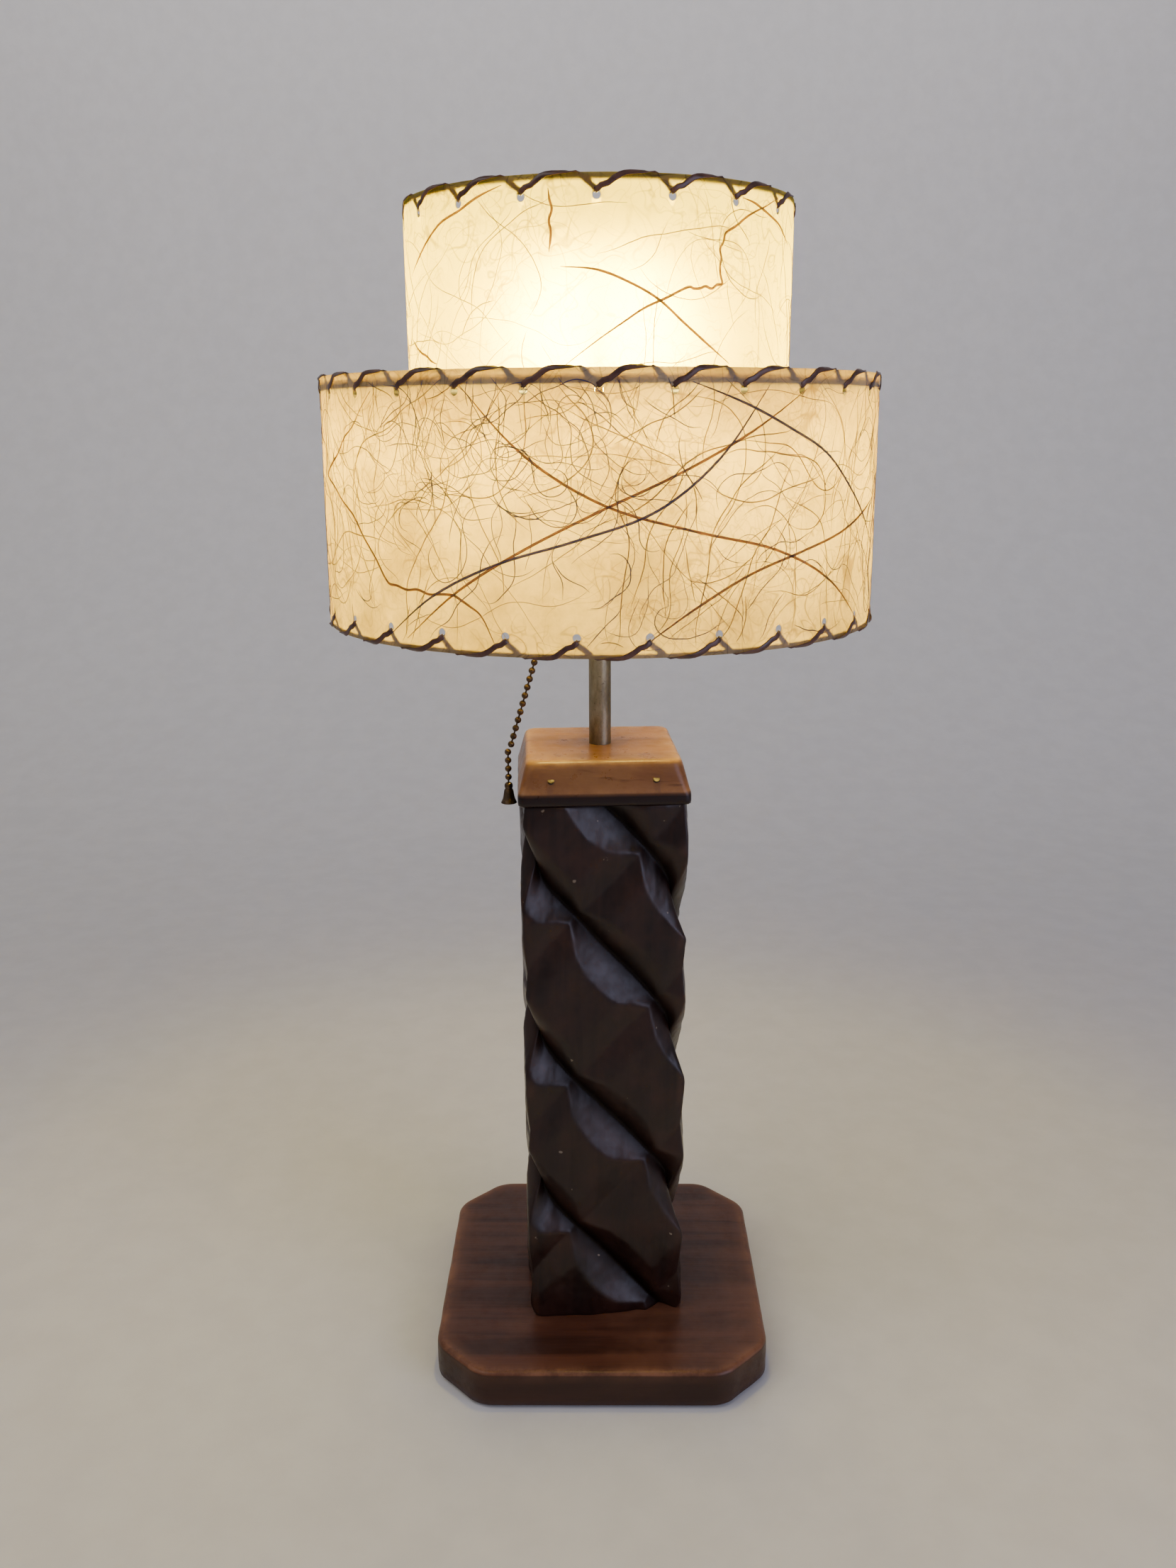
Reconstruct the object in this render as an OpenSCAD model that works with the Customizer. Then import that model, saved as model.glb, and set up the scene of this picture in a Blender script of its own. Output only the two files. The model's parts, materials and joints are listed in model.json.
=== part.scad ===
// Table lamp: carved post on a square board, two-tier laced shade and a pull-chain socket.
// The origin is the middle of the underside of the foot felt, +Z up, the front faces -Y.

/* [Base] */
// Width of the square foot board
base_w = 161; // [130:1:190]
// Length clipped off each side at a corner of the board
base_clip = 22; // [12:1:30]
// Height of the board's top face above the table
base_top = 20; // [18:0.5:26]
// Thickness of the felt under the board
felt_t = 1.5; // [1:0.5:2]

/* [Post] */
// Width of the square carved post
post_w = 78; // [70:1:84]
// Height of the post's top end above the table
post_top = 285; // [260:1:310]
// Turn of the post and its cap on the board, in degrees
post_turn = 3.3; // [0:0.1:5]
// Vertical distance between two neighbouring carved grooves
groove_pitch = 80; // [70:1:90]
// Depth of the main grooves, which fall to the right
main_depth = 8; // [4:0.5:9]
// Depth of the crossing grooves, which rise to the right
cross_depth = 4.5; // [2:0.5:6]

/* [Cap block] */
// Thickness of the block on the post
cap_t = 20; // [18:1:24]
// Inset of the cap's top face behind its sides
cap_inset = 4.5; // [2:0.5:6]

/* [Lamp pipe] */
// Outside diameter of the lamp pipe
pipe_d = 10.3; // [9.9:0.1:10.5]
// Bore of the lamp pipe
pipe_bore = 6.6; // [6:0.1:7]

/* [Shade] */
// Radius of the lower tier at its top rim
lower_r = 120.2; // [112:0.2:128]
// How much wider the lower tier is at its bottom rim
lower_flare = 0.8; // [0:0.2:2]
// Radius of the upper tier
upper_r = 82; // [78:0.5:88]
// Height of the shade's bottom rim
shade_z = 366; // [360:1:368]
// Height of the lower tier's top rim
step_z = 469; // [460:1:475]
// Height of the upper tier's top rim
top_z = 538; // [537:0.5:545]
// Thickness of the shade sheets
sheet_t = 0.6; // [0.4:0.1:1]
// Stitches along each rim of the lower tier
lower_stitches = 28; // [24:4:32]
// Stitches along the upper rim
upper_stitches = 18; // [14:2:22]

/* [Pull chain] */
// Diameter of a chain bead
bead_d = 3.2; // [2.8:0.1:3.4]
// Distance between two beads
bead_pitch = 4.06; // [3.9:0.02:4.3]
// Lean of the upper stretch of chain, in degrees from vertical
chain_lean = 16.5; // [14:0.1:17.5]

/* [Hidden] */
$fn = 64;

eps = 0.01;
pipe_r = pipe_d / 2;
half = post_w / 2;
cap_top = post_top + cap_t;

// foot
board_t = base_top - felt_t;
well_r = 18;
well_z = base_top - 8.5;
washer_t = 1.5;
nut_t = 4;
nut_flats = 16;
cord_z = 9;
bush_r = 4.5;
bush_bore = 3.2;
bush_l = 12;
screw_xy = 24;
screw_r = 2;
screw_head = 4;
screw_top = 46;

// post and cap
post_bore = 8;
pocket_r = 14;
pocket_z = post_top - 6;
rings = 54;
face_steps = 12;
main_offsets = [0, -1, 3, -8];
main_start = 52;
cross_start = 4.5;
main_width = 15;
cross_width = 10;
slope_turn = 5;
corner_cut = 1.4;
cap_band = 6;
nail_r = 0.9;
nail_head = 1.4;
nail_l = 38;

// socket and harp
saddle_z = 362;
saddle_x = 27;
saddle_t = 1.6;
saddle_w = 12;
saddle_top = 380;
wire_r = 1.6;
sleeve_r = 2.7;
run = 0.05;
leg_z = 392;
harp_r = 57;
harp_z = 462;
harp_low = 50;
leg_l = 20;
sleeve_l = 12;
joint_r = wire_r + 0.06;
stud_r = 3.1;
stud_z = 523;
socket_r = 17;
socket_z = saddle_z + saddle_t;
shell_z = 381;
shell_top = 430;
body_r = 15;
body_z = 386;
body_top = 404;
screw_r_in = 13.1;
bulb_z = 407;
bulb_r = 30;
bulb_mid = 485;
bulb_low = -50;
glass_t = 0.8;

// chain
chain_bend = [-41.85, 304.36];
lean_dir = [sin(chain_lean), cos(chain_lean)];
bead_r = bead_d / 2;
link_r = 0.6;
upper_beads = 24;
lower_beads = 5;
hang_x = chain_bend[0] - 1.6;
hang_z = chain_bend[1] - 3.75;
bell_z = hang_z - (lower_beads - 1) * bead_pitch - bead_r;
eye_z = bell_z + bead_r;
guide_low = 71;
guide_high = 88;
guide_r = 2.9;
lever_pivot = [-5, 394];
lever_tip = [-14.46, 397];
lever_in = 1.9;
lever_t = 0.9;
pin_r = 1.2;

// shade
ring_drop = 4.2;
rim_drop = wire_r + 0.2;
spider_drop = 15;
lace_w = 2.3;
lace_t = 0.7;
lace_rise = 6.5;

// ---------- shared shapes ----------
module tube(r_out, r_in, h) {
  difference() {
    cylinder(r = r_out, h = h);
    translate([0, 0, -1]) cylinder(r = r_in, h = h + 2);
  }
}

module hex_nut(across, bore, h) {
  difference() {
    cylinder(d = across / cos(30), h = h, $fn = 6);
    translate([0, 0, -1]) cylinder(r = bore, h = h + 2);
  }
}

module wire_ring(r, z) {
  translate([0, 0, z]) rotate_extrude($fn = 128) translate([r, 0]) circle(r = wire_r, $fn = 24);
}

// a round bar between two points given in the XZ plane
module bar_xz(a, b, r) {
  d = b - a;
  translate([a[0], 0, a[1]]) rotate([0, atan2(d[0], d[1]), 0]) cylinder(r = r, h = norm(d), $fn = 24);
}

// ---------- foot ----------
function clip_arc(c, a0, r) = [for (i = [0:4]) c + r * [cos(a0 + i * 11.25), sin(a0 + i * 11.25)]];

// square with clipped corners, whose edges are blended by short arcs
function board_corner(w, c, r) = let (h = w / 2, t = r * tan(22.5))
  concat(clip_arc([h - r, h - c - t], 0, r), clip_arc([h - c - t, h - r], 45, r));

function board_outline(w, c, r) = [
  for (q = [0:3]) for (p = board_corner(w, c, r))
    [p[0] * cos(90 * q) - p[1] * sin(90 * q), p[0] * sin(90 * q) + p[1] * cos(90 * q)]
];

module board_slab(w, h) linear_extrude(h) polygon(board_outline(w, base_clip, 16));

module at_screws() rotate([0, 0, post_turn]) for (x = [-1, 1], y = [-1, 1])
  translate([x * screw_xy, y * screw_xy, 0]) children();

module wood_screw() {
  translate([0, 0, felt_t]) cylinder(r1 = screw_head, r2 = screw_r, h = 3);
  translate([0, 0, felt_t + 3]) cylinder(r = screw_r, h = screw_top - felt_t - 3);
}

module felt_pad() color("darkolivegreen") board_slab(base_w - 6, felt_t);

module base_board() color("saddlebrown") difference() {
  union() {
    translate([0, 0, felt_t]) board_slab(base_w, board_t - 2);
    hull() {
      translate([0, 0, base_top - 2 - eps]) board_slab(base_w, eps);
      translate([0, 0, base_top - eps]) board_slab(base_w - 4, eps);
    }
  }
  translate([0, 0, -1]) cylinder(r = pipe_r + run, h = base_top + 2);
  translate([0, 0, -1]) cylinder(r = well_r, h = well_z + 1);
  translate([0, well_r - 4, cord_z]) rotate([-90, 0, 0]) cylinder(r = bush_r, h = base_w);
  at_screws() wood_screw();
}

module base_screws() color("silver") at_screws() wood_screw();

module cord_bushing() color("black") translate([0, base_w / 2, cord_z]) rotate([90, 0, 0]) {
  tube(bush_r, bush_bore, bush_l);
  translate([0, 0, -1.5]) tube(bush_r + 1.5, bush_bore, 1.5);
}

module pipe_lower_washer() color("silver")
  translate([0, 0, well_z - washer_t]) tube(13, pipe_r, washer_t);

module pipe_lower_nut() color("silver")
  translate([0, 0, well_z - washer_t - nut_t]) hex_nut(nut_flats, pipe_r, nut_t);

// ---------- carved post ----------
// s runs round the post, one unit per face, from the front left edge; u is -1 to 1 on a face
function groove_v(d, width, depth) = depth * max(0, 1 - abs(d) / width);

function main_line(s, k) = main_start + main_offsets[(k + 8) % 4] + groove_pitch * (k - s + 0.5)
  - slope_turn * sin(90 * (s - 0.5));

function cross_line(s, k) = cross_start + groove_pitch * (k + s - 0.5);

function main_cut(s, z) = max([for (k = [-1:8]) groove_v((z - main_line(s, k)) * 0.67, main_width, main_depth)]);

function cross_cut(s, z) = max([for (k = [-4:4]) groove_v((z - cross_line(s, k)) * 0.7, cross_width, cross_depth)]);

// a face point pushed inwards, squarely in mid-face and diagonally at the edges
function carve_point(s, z) = let (
    f = floor(s),
    u = 2 * (s - f) - 1,
    cut = max(main_cut(s, z), cross_cut(s, z)) + corner_cut * pow(abs(u), 10),
    lean = -sign(u) * pow(abs(u), 6),
    n = [lean, 1] / norm([lean, 1]),
    p = [half * u, -half] + cut * n,
    a = 90 * f
  ) [p[0] * cos(a) - p[1] * sin(a), p[0] * sin(a) + p[1] * cos(a), z];

module carved_blank() {
  around = 4 * face_steps;
  step = (post_top - base_top) / rings;
  points = [for (i = [0:rings]) for (j = [0:around - 1]) carve_point(j / face_steps, base_top + i * step)];
  bottom = [for (j = [0:around - 1]) j];
  top = [for (j = [around - 1:-1:0]) rings * around + j];
  sides = [for (i = [0:rings - 1]) for (j = [0:around - 1]) let (
      a = i * around + j,
      b = i * around + (j + 1) % around
    ) each [[a, a + around, b + around], [a, b + around, b]]];
  polyhedron(points, concat([bottom, top], sides));
}

module carved_post() color("#2a1710") difference() {
  rotate([0, 0, post_turn]) carved_blank();
  translate([0, 0, base_top - 1]) cylinder(r = post_bore, h = post_top);
  translate([0, 0, pocket_z]) cylinder(r = pocket_r, h = 10);
  at_screws() wood_screw();
  at_nails() nail();
}

module pipe_upper_washer() color("silver") translate([0, 0, pocket_z]) tube(13, pipe_r, washer_t);

module pipe_upper_nut() color("silver")
  translate([0, 0, pocket_z + washer_t]) hex_nut(nut_flats, pipe_r, nut_t);

// ---------- cap block ----------
module nail() {
  translate([0, 0, -1]) cylinder(r = nail_head, h = 1, $fn = 24);
  translate([0, 0, -nail_l]) cylinder(r = nail_r, h = nail_l - 0.5, $fn = 24);
}

// three nails go down through the top, two go in aslant from the front bevel
module at_nails() rotate([0, 0, post_turn]) {
  for (p = [[-28, 17], [29.5, -14], [21, 24]]) translate([p[0], p[1], cap_top]) children();
  for (x = [-24, 23]) translate([x, -half + 1.7, cap_top - 8]) rotate([35, 0, 0]) children();
}

module cap_block() color("peru") difference() {
  rotate([0, 0, post_turn]) translate([0, 0, post_top]) {
    translate([-half, -half, 0]) cube([post_w, post_w, cap_band]);
    hull() {
      translate([-half, -half, cap_band - eps]) cube([post_w, post_w, eps]);
      translate([-half + 1, -half + 1, cap_t - 6]) cube([post_w - 2, post_w - 2, eps]);
      translate([-half + cap_inset, -half + cap_inset, cap_t - eps])
        cube([post_w - 2 * cap_inset, post_w - 2 * cap_inset, eps]);
    }
  }
  translate([0, 0, post_top - 1]) cylinder(r = pipe_r + run, h = cap_t + 2);
  at_nails() nail();
}

module cap_nails() color("dimgray") intersection() {
  at_nails() nail();
  translate([0, 0, 200]) cylinder(r = 80, h = cap_top - 200);
}

// ---------- pipe, saddle and harp ----------
module lamp_pipe() color("#8b8672") translate([0, 0, 4]) tube(pipe_r, pipe_bore / 2, 368);

module saddle_nut() color("silver") translate([0, 0, saddle_z - nut_t]) hex_nut(nut_flats, pipe_r, nut_t);

// the harp stands front to back, clear of the chain
module harp_saddle() color("goldenrod") rotate([0, 0, 90]) difference() {
  union() {
    translate([-saddle_x - saddle_t, -saddle_w / 2, saddle_z]) cube([2 * (saddle_x + saddle_t), saddle_w, saddle_t]);
    for (side = [-1, 1]) {
      translate([side * (saddle_x + saddle_t / 2) - saddle_t / 2, -saddle_w / 2, saddle_z])
        cube([saddle_t, saddle_w, saddle_top - saddle_z]);
      translate([side * (saddle_x + saddle_t / 2), 0, saddle_top - 6]) cylinder(r = wire_r, h = leg_z - saddle_top + 6);
    }
  }
  translate([0, 0, saddle_z - 1]) cylinder(r = pipe_r, h = saddle_t + 2);
}

leg_x = saddle_x + saddle_t / 2;
arc_end = [harp_r * cos(harp_low), harp_z - harp_r * sin(harp_low)];

module harp_hoop() color("goldenrod") rotate([0, 0, 90]) {
  translate([0, 0, harp_z]) rotate([90, 0, 0]) rotate([0, 0, -harp_low])
    rotate_extrude(angle = 180 + 2 * harp_low, $fn = 96) translate([harp_r, 0]) circle(r = wire_r, $fn = 24);
  for (side = [-1, 1]) {
    translate([side * leg_x, 0, leg_z]) cylinder(r = wire_r, h = leg_l, $fn = 24);
    translate([side * leg_x, 0, leg_z + leg_l]) sphere(r = joint_r, $fn = 24);
    bar_xz([side * leg_x, leg_z + leg_l], [side * arc_end[0], arc_end[1]], wire_r);
    translate([side * arc_end[0], 0, arc_end[1]]) sphere(r = joint_r, $fn = 24);
  }
  translate([0, 0, harp_z + harp_r - 1]) cylinder(r = 7, h = 2.8);
}

module harp_sleeve(side) translate([0, side * leg_x, leg_z - sleeve_l / 2]) tube(sleeve_r, wire_r + run, sleeve_l);
module harp_sleeve_front() color("goldenrod") harp_sleeve(-1);
module harp_sleeve_back() color("goldenrod") harp_sleeve(1);

module harp_stud() color("goldenrod") {
  translate([0, 0, harp_z + harp_r + 1.8]) cylinder(r = 6, h = stud_z - harp_z - harp_r - 1.8);
  translate([0, 0, stud_z - eps]) cylinder(r = stud_r, h = 10);
}

module finial() color("goldenrod") translate([0, 0, stud_z + 1.7]) difference() {
  union() {
    cylinder(r = 5.5, h = 2);
    translate([0, 0, 2]) cylinder(r = 4.2, h = 3);
    translate([0, 0, 7.2]) sphere(r = 5);
  }
  translate([0, 0, -1]) cylinder(r = stud_r + run, h = 10);
}

// ---------- socket ----------
function chain_at(d) = chain_bend + d * lean_dir;

// the slanted space round the upper chain that every socket wall leaves free
module guide_space(r) bar_xz(chain_at(guide_low), chain_at(guide_high + 12), r);

module socket_cap() color("goldenrod") difference() {
  rotate_extrude() polygon([
    [pipe_r, socket_z], [7.5, socket_z], [7.5, socket_z + 5], [12, socket_z + 7],
    [15.5, socket_z + 11], [socket_r, socket_z + 16], [socket_r, 388],
    [socket_r - 0.5, 388], [socket_r - 0.5, socket_z + 16.3], [15.1, socket_z + 11.6],
    [11.7, socket_z + 7.8], [pipe_r, socket_z + 5.8]
  ]);
  guide_space(guide_r + 0.1);
}

module socket_shell() color("goldenrod") difference() {
  translate([0, 0, shell_z]) tube(socket_r - 0.6, socket_r - 1.1, shell_top - shell_z);
  guide_space(guide_r + 0.1);
}

module socket_liner() color("wheat") difference() {
  translate([0, 0, shell_z]) tube(socket_r - 1.15, socket_r - 1.75, shell_top - shell_z - 2);
  guide_space(guide_r + 0.1);
  translate([-20, -3.4, body_z - 1]) cube([10, 6.8, 16]);
}

module socket_body() color("#201a17") difference() {
  translate([0, 0, body_z]) cylinder(r = body_r, h = body_top - body_z);
  translate([-20, -3.4, body_z - 1]) cube([21, 6.8, 16]);
  for (side = [-1, 1]) {
    translate([-20, side * 17 - 5, body_z - 1]) cube([40, 10, 9]);
    translate([0, side * 6, body_z + 4]) rotate([-90 * side, 0, 0]) cylinder(r = 1.5, h = 20);
  }
  translate([lever_pivot[0], 10, lever_pivot[1]]) rotate([90, 0, 0]) cylinder(r = pin_r, h = 20);
}

module socket_screw_shell() color("goldenrod") {
  translate([0, 0, body_top]) tube(screw_r_in + 0.5, screw_r_in, 22);
  translate([0, 0, body_top]) tube(screw_r_in + 0.2, screw_r_in - 2, 0.5);
}

module socket_contact() color("goldenrod") translate([-3, -2.5, body_top]) {
  cube([9, 5, 0.6]);
  cube([3, 5, 1.6]);
  translate([0, 0, 1.2]) cube([7, 5, 0.6]);
}

module terminal_screws() color("gold") for (side = [-1, 1])
  translate([0, side * 12, body_z + 4]) rotate([-90 * side, 0, 0]) {
    cylinder(r = 3, h = 1.8);
    translate([0, 0, -6]) cylinder(r = 1.5, h = 6 + eps);
  }

module chain_guide() color("goldenrod") difference() {
  union() {
    bar_xz(chain_at(guide_low), chain_at(guide_high), guide_r);
    translate([chain_at(guide_low)[0], 0, chain_at(guide_low)[1]]) rotate([0, chain_lean, 0])
      cylinder(r1 = 4, r2 = guide_r, h = 3);
  }
  bar_xz(chain_at(guide_low - 5), chain_at(guide_high + 5), bead_r + 0.4);
  translate([chain_at(guide_low)[0], 0, chain_at(guide_low)[1]]) rotate([0, chain_lean, 0])
    translate([0, 0, -eps]) cylinder(r1 = 3.4, r2 = bead_r + 0.4, h = 2.5);
}

module switch_lever() color("silver") {
  tip_l = norm(lever_tip - lever_pivot);
  tip_a = atan2(lever_tip[1] - lever_pivot[1], lever_pivot[0] - lever_tip[0]);
  translate([lever_pivot[0], 0, lever_pivot[1]]) rotate([0, tip_a, 0]) difference() {
    union() {
      for (side = [-1, 1]) translate([-tip_l - 0.4, side * (lever_in + lever_t / 2) - lever_t / 2, -1])
        cube([tip_l + 0.4, lever_t, 2]);
      translate([0, lever_in + lever_t, 0]) rotate([90, 0, 0]) cylinder(r = 2.2, h = 2 * (lever_in + lever_t));
    }
    translate([0, 5, 0]) rotate([90, 0, 0]) cylinder(r = pin_r + run, h = 10);
  }
}

module lever_pin() color("silver") translate([lever_pivot[0], 10, lever_pivot[1]])
  rotate([90, 0, 0]) cylinder(r = pin_r, h = 20);

module lever_spring() color("silver") for (y = [-1.2, 0, 1.2])
  translate([lever_pivot[0], y, lever_pivot[1]]) rotate([90, 0, 0])
    rotate_extrude() translate([2.7, 0]) circle(r = 0.4, $fn = 16);

// ---------- bulb ----------
function glass_arc(r) = [for (a = [bulb_low:10:90]) [r * cos(a), bulb_mid + r * sin(a)]];

function glass_side(inset) = concat(
  [[12.6 - inset, 431], [13.2 - inset, 438], [15.2 - inset, 449]], glass_arc(bulb_r - inset)
);

module bulb_glass() color("ivory") rotate_extrude() difference() {
  polygon(concat([[0, 431]], glass_side(0)));
  polygon(concat([[0, 431 + glass_t]], [[11.8, 431 + glass_t]], [for (p = glass_side(glass_t)) if (p[1] > 432) p]));
}

module bulb_stem() color("lightgray") {
  translate([0, 0, 431 + glass_t]) cylinder(r1 = 7, r2 = 3, h = 26);
  for (side = [-1, 1]) bar_xz([side * 1.5, 457], [side * 12, 480], 0.4);
  bar_xz([-12, 480], [12, 480], 0.5);
}

module bulb_base() color("goldenrod") {
  translate([0, 0, bulb_z + 2]) cylinder(r = screw_r_in - run, h = 431 - bulb_z - 2);
  translate([0, 0, bulb_z]) cylinder(r1 = 5, r2 = 9, h = 2 + eps);
}

// ---------- pull chain ----------
module upper_bead_at(i) {
  p = chain_at(i * bead_pitch);
  translate([p[0], 0, p[1]]) sphere(r = bead_r, $fn = 24);
}

module pull_chain_upper() color("#4a3a26") {
  for (i = [0:upper_beads - 1]) upper_bead_at(i);
  bar_xz(chain_at(0), chain_at((upper_beads - 1) * bead_pitch), link_r);
}

// the last link is a clasp with a cross pin, from which the bell hangs
module pull_chain_lower() color("#4a3a26") translate([hang_x, 0, 0]) {
  for (i = [0:lower_beads - 2]) translate([0, 0, hang_z - i * bead_pitch]) sphere(r = bead_r, $fn = 24);
  translate([0, 0, eye_z + 2]) cylinder(r = link_r, h = hang_z - eye_z - 2, $fn = 24);
  translate([-0.6, -1.3, eye_z + 2]) cube([1.2, 2.6, 0.7]);
  for (side = [-1, 1]) translate([-0.6, side * 0.95 - 0.35, eye_z - 0.7]) cube([1.2, 0.7, 3.4]);
  translate([0, 1.3, eye_z]) rotate([90, 0, 0]) cylinder(r = 0.45, h = 2.6, $fn = 24);
}

module bell_pull() color("#4a3a26") translate([hang_x, 0, bell_z]) {
  translate([0, 0, bead_r]) rotate([90, 0, 0]) rotate_extrude() translate([1.15, 0]) circle(r = 0.4, $fn = 16);
  translate([0, 0, -0.9]) cylinder(r = 0.5, h = 1.3, $fn = 24);
  difference() {
    rotate_extrude() polygon([
      [0, -0.6], [1.3, -0.8], [1.9, -2], [1.9, -4.2], [2.5, -7], [3.6, -9.8], [3.8, -11], [0, -11]
    ]);
    translate([0, 0, -11.5]) cylinder(r1 = 3, r2 = 1, h = 6.5);
  }
}

// ---------- shade ----------
ring_in = sheet_t + wire_r + 0.1;

module upper_top_ring() color("silver") wire_ring(upper_r - ring_in, top_z - rim_drop);
module upper_bottom_ring() color("silver") wire_ring(upper_r - ring_in, step_z - ring_drop);
module lower_top_ring() color("silver") wire_ring(lower_r - ring_in, step_z - ring_drop);
module lower_bottom_ring() color("silver") wire_ring(lower_r + lower_flare - ring_in, shade_z + wire_r);

module spider() color("silver") {
  difference() {
    translate([0, 0, stud_z + eps]) cylinder(r = 11, h = 1.6);
    translate([0, 0, stud_z - 1]) cylinder(r = stud_r + run, h = 4);
  }
  for (a = [90:120:330]) rotate([0, 0, a]) {
    bar_xz([9, stud_z + 1.6], [60, stud_z + 1.6], wire_r);
    translate([60, 0, stud_z + 1.6]) sphere(r = joint_r, $fn = 24);
    bar_xz([60, stud_z + 1.6], [upper_r - ring_in - wire_r, top_z - rim_drop], wire_r);
  }
}

module step_arms() color("silver") for (a = [45:90:315]) rotate([0, 0, a]) difference() {
  bar_xz([upper_r - ring_in, step_z - ring_drop], [lower_r - ring_in, step_z - ring_drop], wire_r);
  wire_ring(upper_r - ring_in, step_z - ring_drop);
  wire_ring(lower_r - ring_in, step_z - ring_drop);
}

module upper_sheet() color("lemonchiffon") difference() {
  translate([0, 0, step_z - ring_drop - wire_r]) tube(upper_r, upper_r - sheet_t, top_z - step_z + ring_drop + wire_r);
  for (a = [45:90:315]) rotate([0, 0, a])
    bar_xz([upper_r - 8, step_z - ring_drop], [upper_r + 8, step_z - ring_drop], wire_r);
}

module lower_sheet() color("lemonchiffon") difference() {
  translate([0, 0, shade_z]) cylinder(r1 = lower_r + lower_flare, r2 = lower_r, h = step_z - shade_z);
  translate([0, 0, shade_z]) cylinder(r1 = lower_r + lower_flare - sheet_t, r2 = lower_r - sheet_t, h = step_z - shade_z + eps);
  translate([0, 0, shade_z - eps]) cylinder(r = lower_r + lower_flare - sheet_t, h = 2 * eps);
}

// one whip stitch on a top rim: outer leg leaning one way, a turn over the rim, inner leg leaning back
module stitch(r, lean) {
  leg = lace_rise / cos(lean);
  for (out = [0, 1]) {
    x = r + (out == 1 ? 0.1 : -sheet_t - 0.1 - lace_t);
    translate([x, 0, 0.1]) rotate([out == 1 ? lean : -lean, 0, 0])
      translate([0, -lace_w / 2, -leg]) cube([lace_t, lace_w, leg]);
  }
  translate([r - sheet_t - 0.1 - lace_t, -lace_w / 2, 0.1]) cube([sheet_t + 0.2 + 2 * lace_t, lace_w, lace_t]);
}

module lacing(r, z, count, flip, phase = 0) for (i = [0:count - 1]) rotate([0, 0, phase + i * 360 / count])
  translate([0, 0, z]) mirror([0, 0, flip ? 1 : 0]) stitch(r, flip ? 40 : -40);

module upper_lacing() color("saddlebrown") lacing(upper_r, top_z, upper_stitches, false, 9.5);
module lower_top_lacing() color("saddlebrown") lacing(lower_r, step_z, lower_stitches, false);
module bottom_lacing() color("saddlebrown") lacing(lower_r + lower_flare, shade_z, lower_stitches, true, -4);

felt_pad();
base_board();
base_screws();
cord_bushing();
pipe_lower_nut();
pipe_lower_washer();
carved_post();
pipe_upper_nut();
pipe_upper_washer();
cap_block();
cap_nails();
lamp_pipe();
saddle_nut();
harp_saddle();
harp_hoop();
harp_sleeve_front();
harp_sleeve_back();
harp_stud();
finial();
socket_cap();
socket_shell();
socket_liner();
socket_body();
socket_screw_shell();
socket_contact();
terminal_screws();
chain_guide();
switch_lever();
lever_pin();
lever_spring();
bulb_glass();
bulb_stem();
bulb_base();
pull_chain_upper();
pull_chain_lower();
bell_pull();
spider();
upper_top_ring();
upper_bottom_ring();
lower_top_ring();
lower_bottom_ring();
step_arms();
upper_sheet();
lower_sheet();
upper_lacing();
lower_top_lacing();
bottom_lacing();
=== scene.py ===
# Looks of the carved table lamp with its laced two-tier shade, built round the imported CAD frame.
import json
import math
import random

import bpy
from mathutils import Matrix, Vector, noise


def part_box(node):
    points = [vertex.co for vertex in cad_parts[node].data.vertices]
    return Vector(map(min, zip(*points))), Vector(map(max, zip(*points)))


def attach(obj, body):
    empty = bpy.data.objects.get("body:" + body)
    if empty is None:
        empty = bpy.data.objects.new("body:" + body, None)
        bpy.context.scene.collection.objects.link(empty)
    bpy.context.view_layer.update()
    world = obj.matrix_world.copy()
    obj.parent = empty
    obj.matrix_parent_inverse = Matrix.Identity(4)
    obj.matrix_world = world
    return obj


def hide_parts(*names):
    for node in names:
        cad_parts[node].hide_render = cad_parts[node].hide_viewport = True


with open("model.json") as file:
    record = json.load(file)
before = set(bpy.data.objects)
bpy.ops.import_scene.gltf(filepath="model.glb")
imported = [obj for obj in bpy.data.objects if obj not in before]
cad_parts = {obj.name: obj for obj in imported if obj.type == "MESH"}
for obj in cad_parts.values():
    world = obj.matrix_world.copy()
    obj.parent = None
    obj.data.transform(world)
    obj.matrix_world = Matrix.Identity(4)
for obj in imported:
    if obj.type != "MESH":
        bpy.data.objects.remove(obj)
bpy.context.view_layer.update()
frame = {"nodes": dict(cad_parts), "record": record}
NODES = frame["nodes"]
MM = 0.001
TAU = 2 * math.pi


# ---------------------------------------------------------------- camera
CAMERA_BACK = 0.5992
CAMERA_HEIGHT = 0.4503
CAMERA_PITCH = math.radians(15.44)
CAMERA_YAW = math.radians(-0.55)
CAMERA_ROLL = math.radians(-0.31)
CAMERA_LENS = 30.07


def make_camera():
    """In front of the lamp, a little above the foot of its shade, looking down."""
    forward = Vector((
        math.sin(CAMERA_YAW) * math.cos(CAMERA_PITCH),
        math.cos(CAMERA_YAW) * math.cos(CAMERA_PITCH),
        -math.sin(CAMERA_PITCH),
    ))
    level = Vector((math.cos(CAMERA_YAW), -math.sin(CAMERA_YAW), 0))
    above = level.cross(forward)
    right = level * math.cos(CAMERA_ROLL) + above * math.sin(CAMERA_ROLL)
    up = above * math.cos(CAMERA_ROLL) - level * math.sin(CAMERA_ROLL)
    data = bpy.data.cameras.new("camera")
    data.lens = CAMERA_LENS
    data.sensor_width = 36
    data.clip_start = 0.01
    camera = bpy.data.objects.new("camera", data)
    turn = Matrix((right, up, -forward)).transposed().to_4x4()
    camera.matrix_world = Matrix.Translation((0, -CAMERA_BACK, CAMERA_HEIGHT)) @ turn
    bpy.context.scene.collection.objects.link(camera)
    bpy.context.scene.camera = camera


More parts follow.
